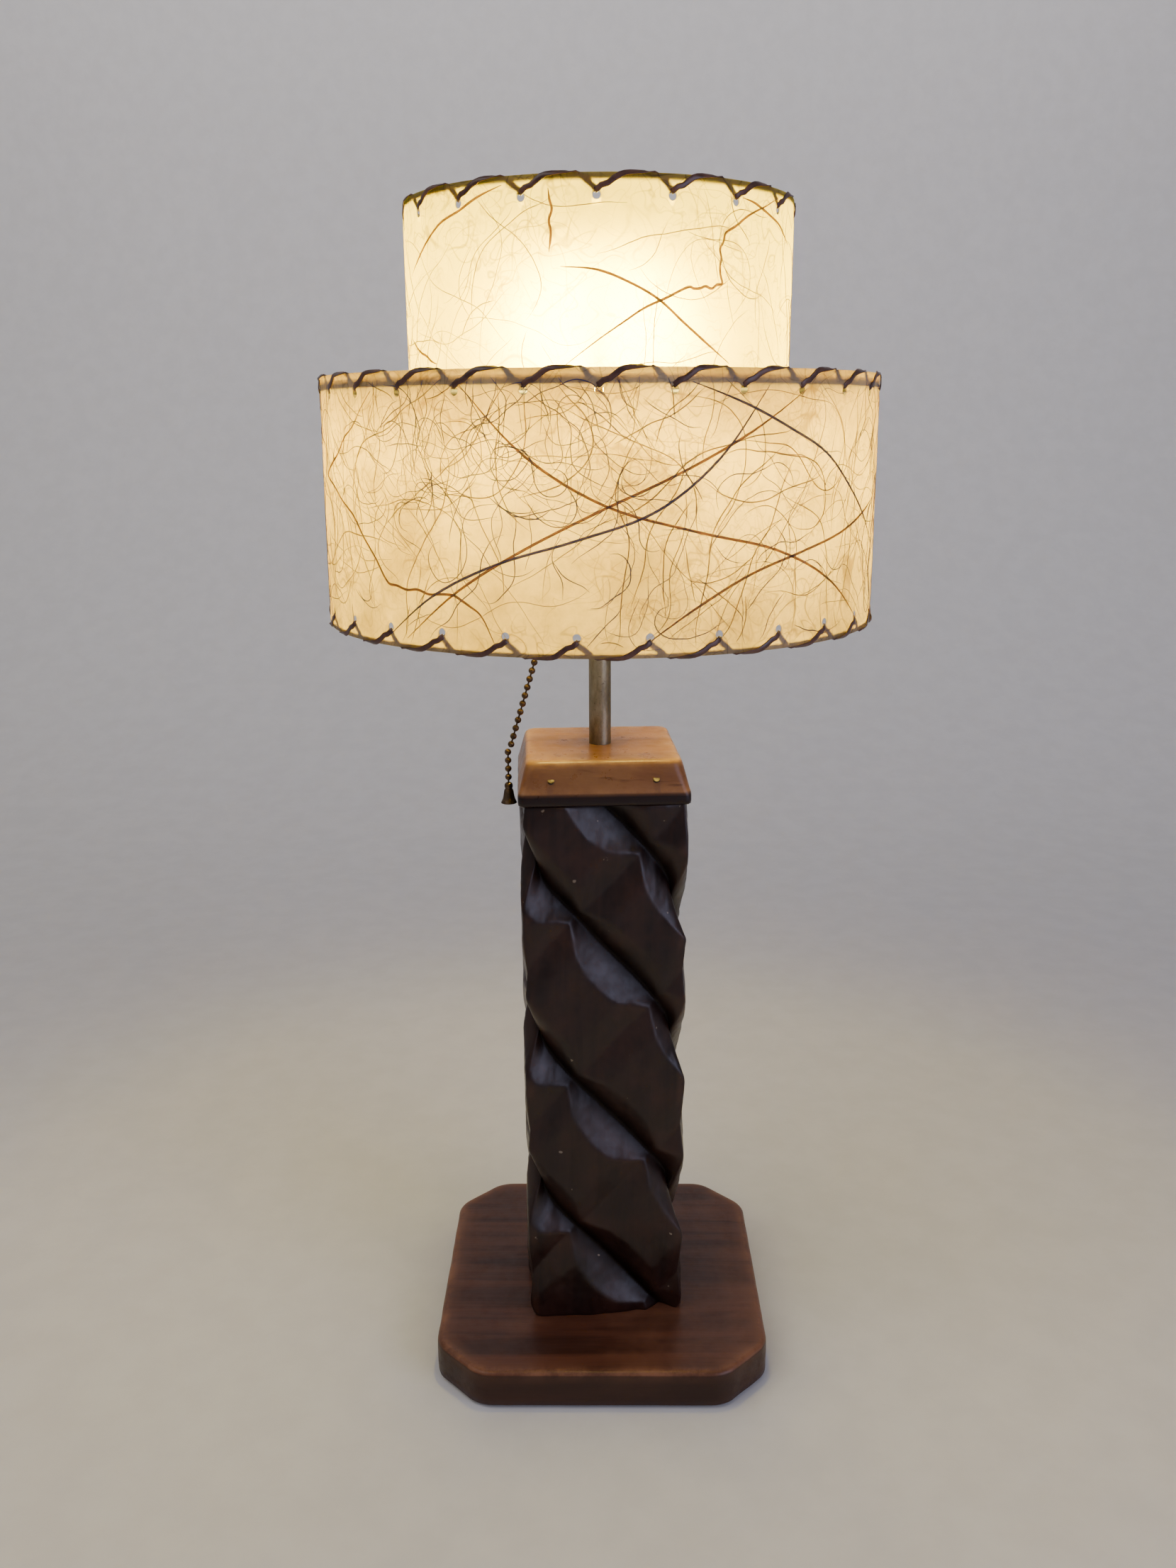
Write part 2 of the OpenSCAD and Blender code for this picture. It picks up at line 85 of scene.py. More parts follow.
# ---------------------------------------------------------------- node helpers
class Shader:
    """A material with short calls for its nodes."""

    def __init__(self, name):
        self.material = bpy.data.materials.new(name)
        self.material.use_nodes = True
        self.tree = self.material.node_tree
        self.nodes = self.tree.nodes
        self.bsdf = self.nodes["Principled BSDF"]
        self.output = self.nodes["Material Output"]
        self.place = self.nodes.new("ShaderNodeTexCoord").outputs["Object"]

    def link(self, source, target):
        self.tree.links.new(source, target)

    def put(self, value, socket):
        if hasattr(value, "is_output"):
            self.link(value, socket)
        else:
            socket.default_value = value

    def set(self, **values):
        for key, value in values.items():
            self.put(value, self.bsdf.inputs[key.replace("_", " ")])

    def math(self, kind, a, b=0.0, c=0.0):
        n = self.nodes.new("ShaderNodeMath")
        n.operation = kind
        self.put(a, n.inputs[0])
        self.put(b, n.inputs[1])
        self.put(c, n.inputs[2])
        return n.outputs[0]

    def stretch(self, scale):
        n = self.nodes.new("ShaderNodeMapping")
        n.inputs["Scale"].default_value = scale
        self.link(self.place, n.inputs["Vector"])
        return n.outputs[0]

    def noise(self, scale, detail=4.0, rough=0.55, vector=None, distortion=0.0):
        n = self.nodes.new("ShaderNodeTexNoise")
        n.inputs["Scale"].default_value = scale
        n.inputs["Detail"].default_value = detail
        n.inputs["Roughness"].default_value = rough
        n.inputs["Distortion"].default_value = distortion
        self.link(vector or self.place, n.inputs["Vector"])
        return n.outputs["Fac"]

    def ramp(self, source, low, high, low_value=0.0, high_value=1.0):
        n = self.nodes.new("ShaderNodeMapRange")
        n.interpolation_type = "SMOOTHSTEP"
        self.link(source, n.inputs["Value"])
        n.inputs["From Min"].default_value = low
        n.inputs["From Max"].default_value = high
        n.inputs["To Min"].default_value = low_value
        n.inputs["To Max"].default_value = high_value
        return n.outputs["Result"]

    def mix(self, factor, a, b, blend="MIX"):
        n = self.nodes.new("ShaderNodeMix")
        n.data_type = "RGBA"
        n.blend_type = blend
        self.put(factor, n.inputs["Factor"])
        for value, socket in ((a, n.inputs[6]), (b, n.inputs[7])):
            self.put(value if hasattr(value, "is_output") else (*value, 1.0), socket)
        return n.outputs[2]

    def mix_shader(self, factor, a, b):
        n = self.nodes.new("ShaderNodeMixShader")
        self.put(factor, n.inputs["Fac"])
        self.link(a, n.inputs[1])
        self.link(b, n.inputs[2])
        return n.outputs[0]

    def attribute(self, name):
        n = self.nodes.new("ShaderNodeAttribute")
        n.attribute_name = name
        return n.outputs["Fac"]

    def bump(self, height, strength, distance):
        n = self.nodes.new("ShaderNodeBump")
        n.inputs["Strength"].default_value = strength
        n.inputs["Distance"].default_value = distance
        self.link(height, n.inputs["Height"])
        self.link(n.outputs["Normal"], self.bsdf.inputs["Normal"])


# ---------------------------------------------------------------- materials
BULB_GLOW = 120.0
# Scale, width and weight of each layer of hair-like fibres.
HAIRS = (
    (20, 0.0050, 0.75), (28, 0.007, 0.65), (37, 0.008, 0.62), (48, 0.010, 0.55), (60, 0.012, 0.50),
    (78, 0.014, 0.45), (24, 0.006, 0.65), (33, 0.007, 0.60), (98, 0.018, 0.38),
)
SHEET_INDEX = 1.38
SHEET_BLUR = 0.80


def wood(name, dark, mid, light, grain_axis, gloss, coat):
    """Stained wood: long grain, pores, edges worn pale, fine handling marks, and upright sides painted darker
    as painted shade.
    """
    m = Shader(name)
    scale = [90.0, 90.0, 90.0]
    scale[grain_axis] = 5.0
    fine = [900.0, 900.0, 900.0]
    fine[grain_axis] = 30.0
    grain = m.noise(1.0, 6, 0.6, m.stretch(scale), 0.6)
    pores = m.noise(1.0, 3, 0.7, m.stretch(fine))
    cloud = m.noise(18.0, 4, 0.6)
    colour = m.mix(m.ramp(grain, 0.32, 0.68), dark, mid)
    colour = m.mix(m.ramp(cloud, 0.45, 0.75, 0.0, 0.5), colour, light)
    colour = m.mix(m.ramp(pores, 0.62, 0.74, 0.0, 0.45), colour, [c * 0.4 for c in dark])
    worn = m.math("MULTIPLY", m.attribute("edge"), m.ramp(m.noise(70.0, 5, 0.7), 0.35, 0.65, 0.25, 1.0))
    colour = m.mix(worn, colour, light)
    # Painted shade: the upright sides are pushed towards a deep brown, as if the light from above missed
    # them.
    colour = m.mix(m.math("MULTIPLY", m.attribute("side"), 0.75), colour, [c * 0.45 for c in dark])
    scuff = m.noise(140.0, 6, 0.75)
    m.set(
        Base_Color=colour,
        Roughness=m.ramp(scuff, 0.3, 0.75, gloss - 0.07, gloss + 0.16),
        Coat_Weight=coat,
        Coat_Roughness=0.22,
        Specular_IOR_Level=0.28,
    )
    height = m.math("ADD", m.math("MULTIPLY", pores, 0.35), m.math("MULTIPLY", grain, 0.5))
    m.bump(height, 0.25, 0.0006)
    return m.material


def cap_wood_material():
    """Honey stain with a rubbed, slightly dirty top; below the top's edge it is painted darker and a little
    cool, and its lowest band near black, both as painted shade.
    """
    m = Shader("cap_wood")
    grain = m.noise(1.0, 6, 0.6, m.stretch((5, 90, 60)), 0.8)
    streak = m.noise(1.0, 3, 0.6, m.stretch((22, 500, 420)))
    cloud = m.noise(22.0, 5, 0.65)
    colour = m.mix(m.ramp(grain, 0.32, 0.68), (0.170, 0.074, 0.032), (0.265, 0.125, 0.058))
    colour = m.mix(m.ramp(cloud, 0.42, 0.72, 0.0, 0.75), colour, (0.33, 0.175, 0.072))
    colour = m.mix(m.ramp(streak, 0.60, 0.72, 0.0, 0.5), colour, (0.060, 0.022, 0.010))
    worn = m.math("MULTIPLY", m.attribute("edge"), m.ramp(m.noise(80.0, 5, 0.7), 0.35, 0.65, 0.15, 0.8))
    colour = m.mix(worn, colour, (0.46, 0.27, 0.13))
    # Painted shade: everything below the top's edge, the bevel and the sides, is multiplied darker and
    # slightly cool, as if less light reached it.
    slope = m.mix(1.0, colour, (0.68, 0.66, 0.74), "MULTIPLY")
    colour = m.mix(m.attribute("bevel"), colour, slope)
    # Painted shade: the lowest band of the upright faces is painted near black, as if in shadow.
    colour = m.mix(m.attribute("shade_band"), colour, (0.014, 0.0048, 0.0036))
    gloss = m.ramp(m.noise(130.0, 6, 0.7), 0.3, 0.75, 0.26, 0.46)
    m.set(Base_Color=colour, Roughness=gloss, Specular_IOR_Level=0.35)
    m.bump(m.math("ADD", m.math("MULTIPLY", streak, 0.5), m.math("MULTIPLY", grain, 0.5)), 0.3, 0.0006)
    return m.material


def dark_post_wood():
    """Near-black brown stain with a reddish ground, dust and nicks in the carving, and painted shade that
    blackens the grooves and dulls their reflection.
    """
    m = Shader("post_wood")
    grain = m.noise(1.0, 6, 0.6, m.stretch((110, 110, 7)), 0.7)
    cloud = m.noise(30.0, 5, 0.65)
    nick = m.noise(190.0, 2, 0.5)
    colour = m.mix(m.ramp(grain, 0.3, 0.7), (0.009, 0.0028, 0.0020), (0.021, 0.0070, 0.0046))
    colour = m.mix(m.ramp(cloud, 0.42, 0.72, 0.0, 0.7), colour, (0.042, 0.0135, 0.0078))
    # Painted shade: near the groove lines the colour is pushed almost to black, as if the hollows lay in
    # shadow.
    colour = m.mix(m.math("MULTIPLY", m.attribute("groove"), 0.9), colour, (0.002, 0.0010, 0.0009))
    rubbed = m.math("MULTIPLY", m.attribute("ridge"), m.ramp(cloud, 0.35, 0.6, 0.2, 1.0))
    colour = m.mix(rubbed, colour, (0.085, 0.034, 0.016))
    colour = m.mix(m.ramp(nick, 0.735, 0.77, 0.0, 0.8), colour, (0.22, 0.17, 0.12))
    m.set(
        Base_Color=colour,
        Roughness=m.ramp(m.noise(120.0, 6, 0.7), 0.3, 0.75, 0.29, 0.47),
        # Painted shade too: the reflection is turned down in the grooves.
        Specular_IOR_Level=m.math("MULTIPLY_ADD", m.attribute("groove"), -0.30, 0.40),
    )
    chatter = m.noise(1.0, 3, 0.5, m.stretch((60, 60, 25)))
    height = m.math("ADD", m.math("MULTIPLY", grain, 0.3), chatter)
    m.bump(height, 0.3, 0.0010)
    return m.material


def metal(name, base, tarnish, rough, spots=70.0, amount=0.6, streak=None):
    """Aged metal: tarnish clouds, darker specks and uneven gloss."""
    m = Shader(name)
    cloud = m.noise(spots, 6, 0.7, m.stretch(streak) if streak else None)
    speck = m.noise(spots * 9, 3, 0.6)
    colour = m.mix(m.ramp(cloud, 0.38, 0.66, 0.0, amount), base, tarnish)
    colour = m.mix(m.ramp(speck, 0.62, 0.72, 0.0, 0.55), colour, [c * 0.35 for c in tarnish])
    m.set(
        Base_Color=colour,
        Metallic=1.0,
        Roughness=m.ramp(cloud, 0.3, 0.75, rough - 0.06, rough + 0.2),
    )
    m.bump(speck, 0.12, 0.0003)
    return m.material


def plain(name, colour, rough, grit=400.0, depth=0.0003, sheen=0.0):
    """Moulded or pressed stuff with a fine grain and slight mottling."""
    m = Shader(name)
    grain = m.noise(grit, 4, 0.6)
    tint = m.mix(m.ramp(m.noise(grit / 9, 3), 0.3, 0.7), [c * 0.75 for c in colour], colour)
    m.set(Base_Color=tint, Roughness=m.ramp(grain, 0.3, 0.7, rough - 0.08, rough + 0.1), Sheen_Weight=sheen)
    m.bump(grain, 0.3, depth)
    return m.material


def hair_lines(m, scale, width, seed):
    """1 on thin wandering lines, which are a level curve of a noise, and 0 elsewhere."""
    n = m.nodes.new("ShaderNodeTexNoise")
    n.noise_dimensions = "4D"
    n.inputs["W"].default_value = seed
    n.inputs["Scale"].default_value = scale
    n.inputs["Detail"].default_value = 1.5
    n.inputs["Roughness"].default_value = 0.45
    n.inputs["Distortion"].default_value = 0.9
    m.link(m.place, n.inputs["Vector"])
    off = m.math("ABSOLUTE", m.math("SUBTRACT", n.outputs["Fac"], 0.5))
    return m.ramp(off, 0.0, width, 1.0, 0.0)


def sheet_material(name, tint, face, passing, ahead, cloudy):
    """Translucent fibre-flecked sheet with clouds and matted hair-like fibres.

    tint colours the light that goes through, and face the light that comes back. passing is the share that
    goes through, ahead the part of it that is blurred and not fully spread, and cloudy how much the clouds
    hold back.
    """
    m = Shader(name)
    masks = [m.ramp(m.noise(scale, 2, 0.5), 0.42, 0.60) for scale in (17.0, 31.0)]
    fibres = None
    for i, (scale, width, weight) in enumerate(HAIRS):
        line = m.math("MULTIPLY", hair_lines(m, scale, width, 1.3 + 2.9 * i), weight)
        line = m.math("MULTIPLY", line, masks[i % 2])
        if fibres is None:
            fibres = line
        else:
            rest = m.math("MULTIPLY", line, m.math("SUBTRACT", 1.0, fibres))
            fibres = m.math("ADD", fibres, rest)
    mottle = m.noise(150.0, 5, 0.65)
    cloud = m.math("MULTIPLY", m.ramp(m.noise(24.0, 6, 0.68), 0.36, 0.66), cloudy)
    cloud = m.math("ADD", cloud, m.math("MULTIPLY", m.ramp(mottle, 0.35, 0.75), cloudy * 0.35))
    held = m.mix(fibres, m.mix(cloud, (1.0, 1.0, 1.0), (0.48, 0.45, 0.40)), (0.34, 0.29, 0.25))
    colour = m.mix(1.0, held, tint, "MULTIPLY")
    m.set(Base_Color=m.mix(1.0, held, face, "MULTIPLY"), Roughness=0.42, Specular_IOR_Level=0.3)
    spread = m.nodes.new("ShaderNodeBsdfTranslucent")
    m.link(colour, spread.inputs["Color"])
    blur = m.nodes.new("ShaderNodeBsdfRefraction")
    m.link(colour, blur.inputs["Color"])
    blur.inputs["IOR"].default_value = SHEET_INDEX
    blur.inputs["Roughness"].default_value = SHEET_BLUR
    through = m.mix_shader(ahead, spread.outputs[0], blur.outputs[0])
    clear = m.nodes.new("ShaderNodeBsdfTransparent")
    skin = m.mix_shader(passing, m.bsdf.outputs[0], through)
    m.link(m.mix_shader(m.attribute("inner"), skin, clear.outputs[0]), m.output.inputs["Surface"])
    m.bump(m.math("ADD", mottle, m.math("MULTIPLY", fibres, 0.6)), 0.25, 0.0004)
    return m.material


def lace_material():
    """Flat brown lace with a streaky shine."""
    m = Shader("lace")
    streak = m.noise(260.0, 4, 0.6)
    colour = m.mix(m.ramp(streak, 0.3, 0.7), (0.055, 0.021, 0.014), (0.130, 0.054, 0.032))
    m.set(Base_Color=colour, Roughness=m.ramp(streak, 0.3, 0.7, 0.28, 0.45), Specular_IOR_Level=0.5)
    m.bump(streak, 0.2, 0.0002)
    return m.material


def strand_material(name, colour, passing):
    """A fibre that lets most of the light behind it through."""
    m = Shader(name)
    tone = m.noise(120.0, 3, 0.6)
    tint = m.mix(m.ramp(tone, 0.3, 0.7), [c * 0.85 for c in colour], colour)
    m.set(Base_Color=tint, Roughness=0.6)
    through = m.nodes.new("ShaderNodeBsdfTranslucent")
    m.link(tint, through.inputs["Color"])
    m.link(m.mix_shader(passing, m.bsdf.outputs[0], through.outputs[0]), m.output.inputs["Surface"])
    return m.material


def bulb_material():
    """Frosted glass lit from within."""
    m = Shader("bulb_glow")
    soft = m.ramp(m.noise(40.0, 3, 0.5), 0.3, 0.7, 0.92, 1.0)
    m.set(
        Base_Color=(0.95, 0.93, 0.88, 1),
        Roughness=0.35,
        Emission_Color=m.mix(soft, (1.0, 0.74, 0.12), (1.0, 0.77, 0.15)),
        Emission_Strength=BULB_GLOW,
    )
    return m.material


# ---------------------------------------------------------------- mesh helpers
ON_AXIS = 1e-6


def make_piece(name, verts, faces, body, material):
    mesh = bpy.data.meshes.new(name)
    mesh.from_pydata([tuple(v) for v in verts], [], faces)
    mesh.validate()
    mesh.update()
    mesh.polygons.foreach_set("use_smooth", [True] * len(mesh.polygons))
    mesh.materials.append(material)
    piece = bpy.data.objects.new(name, mesh)
    bpy.context.scene.collection.objects.link(piece)
    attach(piece, body)
    return piece


def add_attribute(piece, name, values):
    piece.data.attributes.new(name, "FLOAT", "POINT").data.foreach_set("value", values)


def grid_faces(rows, columns):
    """Quads between neighbouring rows, each row a closed ring of columns vertices."""
    faces = []
    for first in range(0, (rows - 1) * columns, columns):
        for c in range(columns):
            here, beside = first + c, first + (c + 1) % columns
            faces.append((here, beside, beside + columns, here + columns))
    return faces


def end_faces(rows, columns):
    """The two faces that close a tube of rows: the first ring and the last."""
    return [tuple(range(columns))[::-1], tuple((rows - 1) * columns + i for i in range(columns))]


def turned(points, angle):
    """Points of a plane turned about the origin."""
    c, s = math.cos(angle), math.sin(angle)
    return [(x * c - y * s, x * s + y * c) for x, y in points]


def arc(centre, radius, first, last, steps):
    """Points of an arc, with angles in degrees."""
    angles = [math.radians(first + (last - first) * i / steps) for i in range(steps + 1)]
    return [(centre[0] + radius * math.cos(a), centre[1] + radius * math.sin(a)) for a in angles]


def lathe(profile, segments, centre_x=0.0):
    """A solid of revolution about a vertical axis. The profile starts and ends on the axis."""
    verts, faces, rings = [], [], []
    for r, z in profile:
        first = len(verts)
        if r < ON_AXIS:
            rings.append([first])
            verts.append((centre_x, 0.0, z))
            continue
        rings.append(list(range(first, first + segments)))
        for i in range(segments):
            a = TAU * i / segments
            verts.append((centre_x + r * math.cos(a), r * math.sin(a), z))
    for low, high in zip(rings, rings[1:]):
        for i in range(segments):
            j = (i + 1) % segments
            if len(low) == 1:
                faces.append((low[0], high[j], high[i]))
            elif len(high) == 1:
                faces.append((low[i], low[j], high[0]))
            else:
                faces.append((low[i], low[j], high[j], high[i]))
    return verts, faces


def sweep(points, normals, shape):
    """A section swept along points; normals give its thickness direction at each point."""
    verts = []
    for i, p in enumerate(points):
        before, after = points[max(i - 1, 0)], points[min(i + 1, len(points) - 1)]
        along = (after - before).normalized()
        out = (normals[i] - along * normals[i].dot(along)).normalized()
        side = along.cross(out)
        verts += [p + side * a + out * b for a, b in shape]
    return verts, grid_faces(len(points), len(shape)) + end_faces(len(points), len(shape))


def stand_on(verts, place, axis):
    """Points made about +Z, turned to an axis and moved to a place."""
    turn = Vector((0, 0, 1)).rotation_difference(axis)
    return [place + turn @ Vector(v) for v in verts]


def join(parts):
    """One mesh out of many."""
    verts, faces = [], []
    for v, f in parts:
        shift = len(verts)
        verts += v
        faces += [tuple(i + shift for i in face) for face in f]
    return verts, faces


def dress(node, material):
    """Gives a carried CAD node its material."""
    piece = NODES[node]
    piece.data.materials.clear()
    piece.data.materials.append(material)


# ---------------------------------------------------------------- foot board
BOARD_CLIP = 22 * MM
BOARD_BLEND = 16 * MM
BOARD_ROUND = 2.6 * MM
BOARD_CHAMFER = 0.8 * MM
BOARD_STEP = 4 * MM
BOARD_DENT = 0.35 * MM
ARC_STEPS = 6


def board_outline(half, inset=0.0):
    """Square with clipped corners blended by arcs, counterclockwise from the right side."""
    far = half - BOARD_BLEND
    near = half - BOARD_CLIP - BOARD_BLEND * math.tan(math.radians(22.5))
    radius = BOARD_BLEND - inset
    corner = arc((far, near), radius, 0, 45, ARC_STEPS) + arc((near, far), radius, 45, 90, ARC_STEPS)
    return [p for quarter in range(4) for p in turned(corner, math.radians(90 * quarter))]


def board_levels(low, high):
    """The board's contour from its underside up to the flat of its top: inset, height, wear."""
    levels = [(BOARD_CHAMFER, low, 0.4), (0.0, low + BOARD_CHAMFER, 0.5)]
    levels += [(0.0, low + (high - BOARD_ROUND - low) * k / 4, 0.0) for k in (1, 2, 3)]
    for i in range(ARC_STEPS + 1):
        a = math.pi / 2 * i / ARC_STEPS
        levels.append((BOARD_ROUND * (1 - math.cos(a)), high - BOARD_ROUND * (1 - math.sin(a)), 1.0))
    for inward, worn in ((1.0, 0.7), (3.0, 0.25), (7.0, 0.0), (10.0, 0.0)):
        levels.append((BOARD_ROUND + inward * MM, high, worn))
    return levels


def board_ring(half, inset):
    """A ring of points about BOARD_STEP apart, as many on each stretch at any inset."""
    outer, inner = board_outline(half), board_outline(half, inset)
    ring = []
    for a, b, c, d in zip(outer, outer[1:] + outer[:1], inner, inner[1:] + inner[:1]):
        count = max(1, math.ceil(math.dist(a, b) / BOARD_STEP))
        ring += [(c[0] + (d[0] - c[0]) * i / count, c[1] + (d[1] - c[1]) * i / count) for i in range(count)]
    return ring


def make_board(material):
    low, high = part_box("base_board")
    half = (high.x - low.x) / 2
    levels = board_levels(low.z, high.z)
    columns = len(board_ring(half, 0.0))
    verts, edge, side = [], [], []
    for inset, z, worn in levels:
        at_top = z > high.z - 0.2 * MM
        for x, y in board_ring(half, inset):
            dent = abs(noise.noise(Vector((x, y, z)) * 60)) * BOARD_DENT if worn else 0.0
            shrink = 1 - dent / half
            verts.append((x * shrink, y * shrink, z - dent if at_top else z))
            edge.append(worn)
            # Marks the upright faces below the round-over, which the material paints darker as painted shade.
            side.append(1.0 if z < high.z - 0.7 * BOARD_ROUND else 0.0)
    faces = grid_faces(len(levels), columns) + end_faces(len(levels), columns)
    piece = make_piece("foot_board", verts, faces, "foot", material)
    add_attribute(piece, "edge", edge)
    add_attribute(piece, "side", side)
    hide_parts("base_board")


# ---------------------------------------------------------------- carved post
POST_HALF = 39 * MM
POST_TURN = math.radians(3.3)
POST_ROWS = 290
POST_PER_FACE = 76
# The carving, in mm. Counterclockwise round the post, the main grooves fall by one PITCH with each face and
# the shallow cross grooves rise by as much. A lobe is the stretch of a face between two cross grooves, and a
# main groove is deepest and widest at its peak. Towards the post's corners the main grooves also get deeper.
PITCH = 80.0
MAIN_OFFSETS = (0, -1, 3, -8)
MAIN_START = 52.0
CROSS_START = 4.5
SLOPE_TURN = 5.0
MAIN_DEPTH = 8.6
LOBE_DEPTH = 2.0
CORNER_DEPTH = 2.4
CORNER_CUT = 1.2
CORNER_WIDTH = 5.0
STEEP_WIDTH, STEEP_SPREAD, STEEP_POWER = 6.5, 9.5, 1.05
GENTLE_WIDTH, GENTLE_SPREAD, GENTLE_POWER = 10.0, 4.0, 1.35
CROSS_DEPTH, CROSS_WIDTH = 2.6, 13.0
LOBE_PEAK = 0.58
CORNER_FROM = 0.6
# Shares of a height that lie across a sloping groove, and how far from its line a groove is still looked for.
ACROSS_GROOVE = 0.67
ACROSS_CROSS = 0.7
FARTHEST = 26
HOLLOW_REACH = 7.0
TOOL_MARKS = 0.45
FINE_MARKS = 0.14
END_DEPTH = 0.5
END_REACH = 1.5 * MM
WANDER = 1.6


def smooth_max(a, b, k=0.5):
    """The larger of two depths, rounded where they meet."""
    h = max(k - abs(a - b), 0) / k
    return max(a, b) + h * h * k / 4


def clamp(value):
    return max(0.0, min(1.0, value))


def carve(s, z):
    """Depth of the carving at s faces round the post and height z, in mm, and how far it is in a groove."""
    wander = noise.noise(Vector((s * 2.1, z * 0.03, 5.0))) * WANDER
    cross = (z - CROSS_START - PITCH * (s - 0.5) + wander) / PITCH
    q = -cross - math.floor(-cross)
    lobe = 1 - ((q - LOBE_PEAK) / (LOBE_PEAK if q < LOBE_PEAK else 1 - LOBE_PEAK)) ** 2
    corner = max(0.0, abs(2 * (s - math.floor(s)) - 1) - CORNER_FROM) / (1 - CORNER_FROM)
    full = MAIN_DEPTH - LOBE_DEPTH + LOBE_DEPTH * lobe + CORNER_DEPTH * corner
    slope = SLOPE_TURN * math.sin(math.radians(90 * (s - 0.5)))
    depth, nearest = 0.0, FARTHEST
    for k in range(-1, 9):
        line = MAIN_START + MAIN_OFFSETS[k % 4] + PITCH * (k - s + 0.5) - slope
        t = (z - line + wander) * ACROSS_GROOVE
        if abs(t) > FARTHEST:
            continue
        width = STEEP_WIDTH + STEEP_SPREAD * lobe if t < 0 else GENTLE_WIDTH + GENTLE_SPREAD * lobe
        width += CORNER_WIDTH * corner * (1 - lobe)
        power = STEEP_POWER if t < 0 else GENTLE_POWER
        depth = smooth_max(depth, full * max(0.0, 1 - abs(t) / width) ** power)
        nearest = min(nearest, abs(t))
    away = abs(cross - round(cross)) * PITCH * ACROSS_CROSS
    depth = smooth_max(depth, CROSS_DEPTH * max(0.0, 1 - away / CROSS_WIDTH), 0.8)
    return depth, max(0.0, 1 - nearest / HOLLOW_REACH)


def make_post(material):
    low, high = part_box("carved_post")
    around = 4 * POST_PER_FACE
    verts, groove, ridge = [], [], []
    for i in range(POST_ROWS):
        z = low.z + (high.z - low.z) * i / (POST_ROWS - 1)
        end = max(0.0, 1 - min(z - low.z, high.z - z) / END_REACH)
        for j in range(around):
            s = j / POST_PER_FACE
            face = int(s)
            u = 2 * (s - face) - 1
            depth, hollow = carve(s, z / MM)
            depth += TOOL_MARKS + noise.noise(Vector((s * 9, z * 60, 2.0))) * TOOL_MARKS
            depth += noise.noise(Vector((s * 30, z * 220, 8.0))) * FINE_MARKS
            depth += END_DEPTH * end + CORNER_CUT * abs(u) ** 14
            lean = -math.copysign(abs(u) ** 6, u)
            inward = depth * MM / math.hypot(lean, 1)
            point = (POST_HALF * u + inward * lean, -POST_HALF + inward)
            verts += [(x, y, z) for x, y in turned([point], math.pi / 2 * face + POST_TURN)]
            # How near each point lies to a groove line; the material paints it darker there as painted shade.
            groove.append(hollow)
            ridge.append(max(0.0, 1 - abs(depth - 0.9) / 0.8) * clamp((abs(u) - 0.86) * 8))
    faces = grid_faces(POST_ROWS, around) + end_faces(POST_ROWS, around)
    piece = make_piece("spiral_post", verts, faces, "foot", material)
    add_attribute(piece, "groove", groove)
    add_attribute(piece, "ridge", ridge)
    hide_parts("carved_post")


# ---------------------------------------------------------------- cap block
# The cap from its underside up and in to the middle of its top: inset, height, corner radius, and wear.
CAP_LEVELS = (
    (1.0, 0.0, 2.0, 0.1), (0.2, 0.6, 2.6, 0.1), (0.0, 2.0, 3.0, 0.0), (0.0, 4.2, 3.2, 0.0),
    (0.1, 5.3, 3.4, 0.1), (0.4, 6.2, 3.6, 0.5), (0.8, 7.4, 3.8, 0.3), (1.4, 9.6, 4.2, 0.05),
    (2.0, 12.0, 4.6, 0.0), (2.6, 14.4, 5.0, 0.0), (3.2, 16.6, 5.2, 0.1), (3.7, 18.2, 5.2, 0.4),
    (4.3, 19.2, 5.2, 0.9), (5.2, 19.8, 5.0, 1.0), (6.4, 20.0, 4.6, 0.6), (9.0, 20.0, 4.0, 0.2),
    (14.0, 20.0, 3.0, 0.0), (22.0, 20.0, 2.0, 0.0), (30.0, 20.0, 1.0, 0.0),
)
CAP_SIDE_STEPS = 10
# Height in mm of the lowest band of the cap, which is painted near black as painted shade.
CAP_SHADE_BAND = 5.9
# Height in mm under which the cap's bevel and sides are painted darker and cooler as painted shade.
CAP_SHADE_TOP = 19.6
CAP_WOBBLE = 0.25 * MM


def rounded_square(half, radius):
    flat = half - radius
    corner = arc((flat, flat), radius, 0, 90, ARC_STEPS)
    straight = [(flat - 2 * flat * i / CAP_SIDE_STEPS, half) for i in range(1, CAP_SIDE_STEPS)]
    return [p for quarter in range(4) for p in turned(corner + straight, math.pi / 2 * quarter)]


def make_cap(material):
    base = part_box("cap_block")[0].z
    verts, edge, shade_band, bevel = [], [], [], []
    for inset, z, radius, worn in CAP_LEVELS:
        ring = rounded_square(POST_HALF - inset * MM, radius * MM)
        for x, y in ring:
            wobble = noise.noise(Vector((x * 40, y * 40, z * 0.1))) * CAP_WOBBLE
            k = 1 - abs(wobble) / POST_HALF
            verts += [(*p, base + z * MM) for p in turned([(x * k, y * k)], POST_TURN)]
            edge.append(worn)
            # Marks the lowest band, which the material paints near black as painted shade.
            shade_band.append(clamp(CAP_SHADE_BAND - z))
            # Marks the bevel and sides, which the material paints darker and cooler as painted shade.
            bevel.append(clamp(CAP_SHADE_TOP - z))
    faces = grid_faces(len(CAP_LEVELS), len(ring)) + end_faces(len(CAP_LEVELS), len(ring))
    piece = make_piece("cap_wood", verts, faces, "foot", material)
    add_attribute(piece, "edge", edge)
    add_attribute(piece, "shade_band", shade_band)
    add_attribute(piece, "bevel", bevel)
    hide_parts("cap_block")


# ---------------------------------------------------------------- pull chain
BEAD_PITCH = 4.06 * MM
BEAD_R = 1.6 * MM
BEAD_RINGS = 10
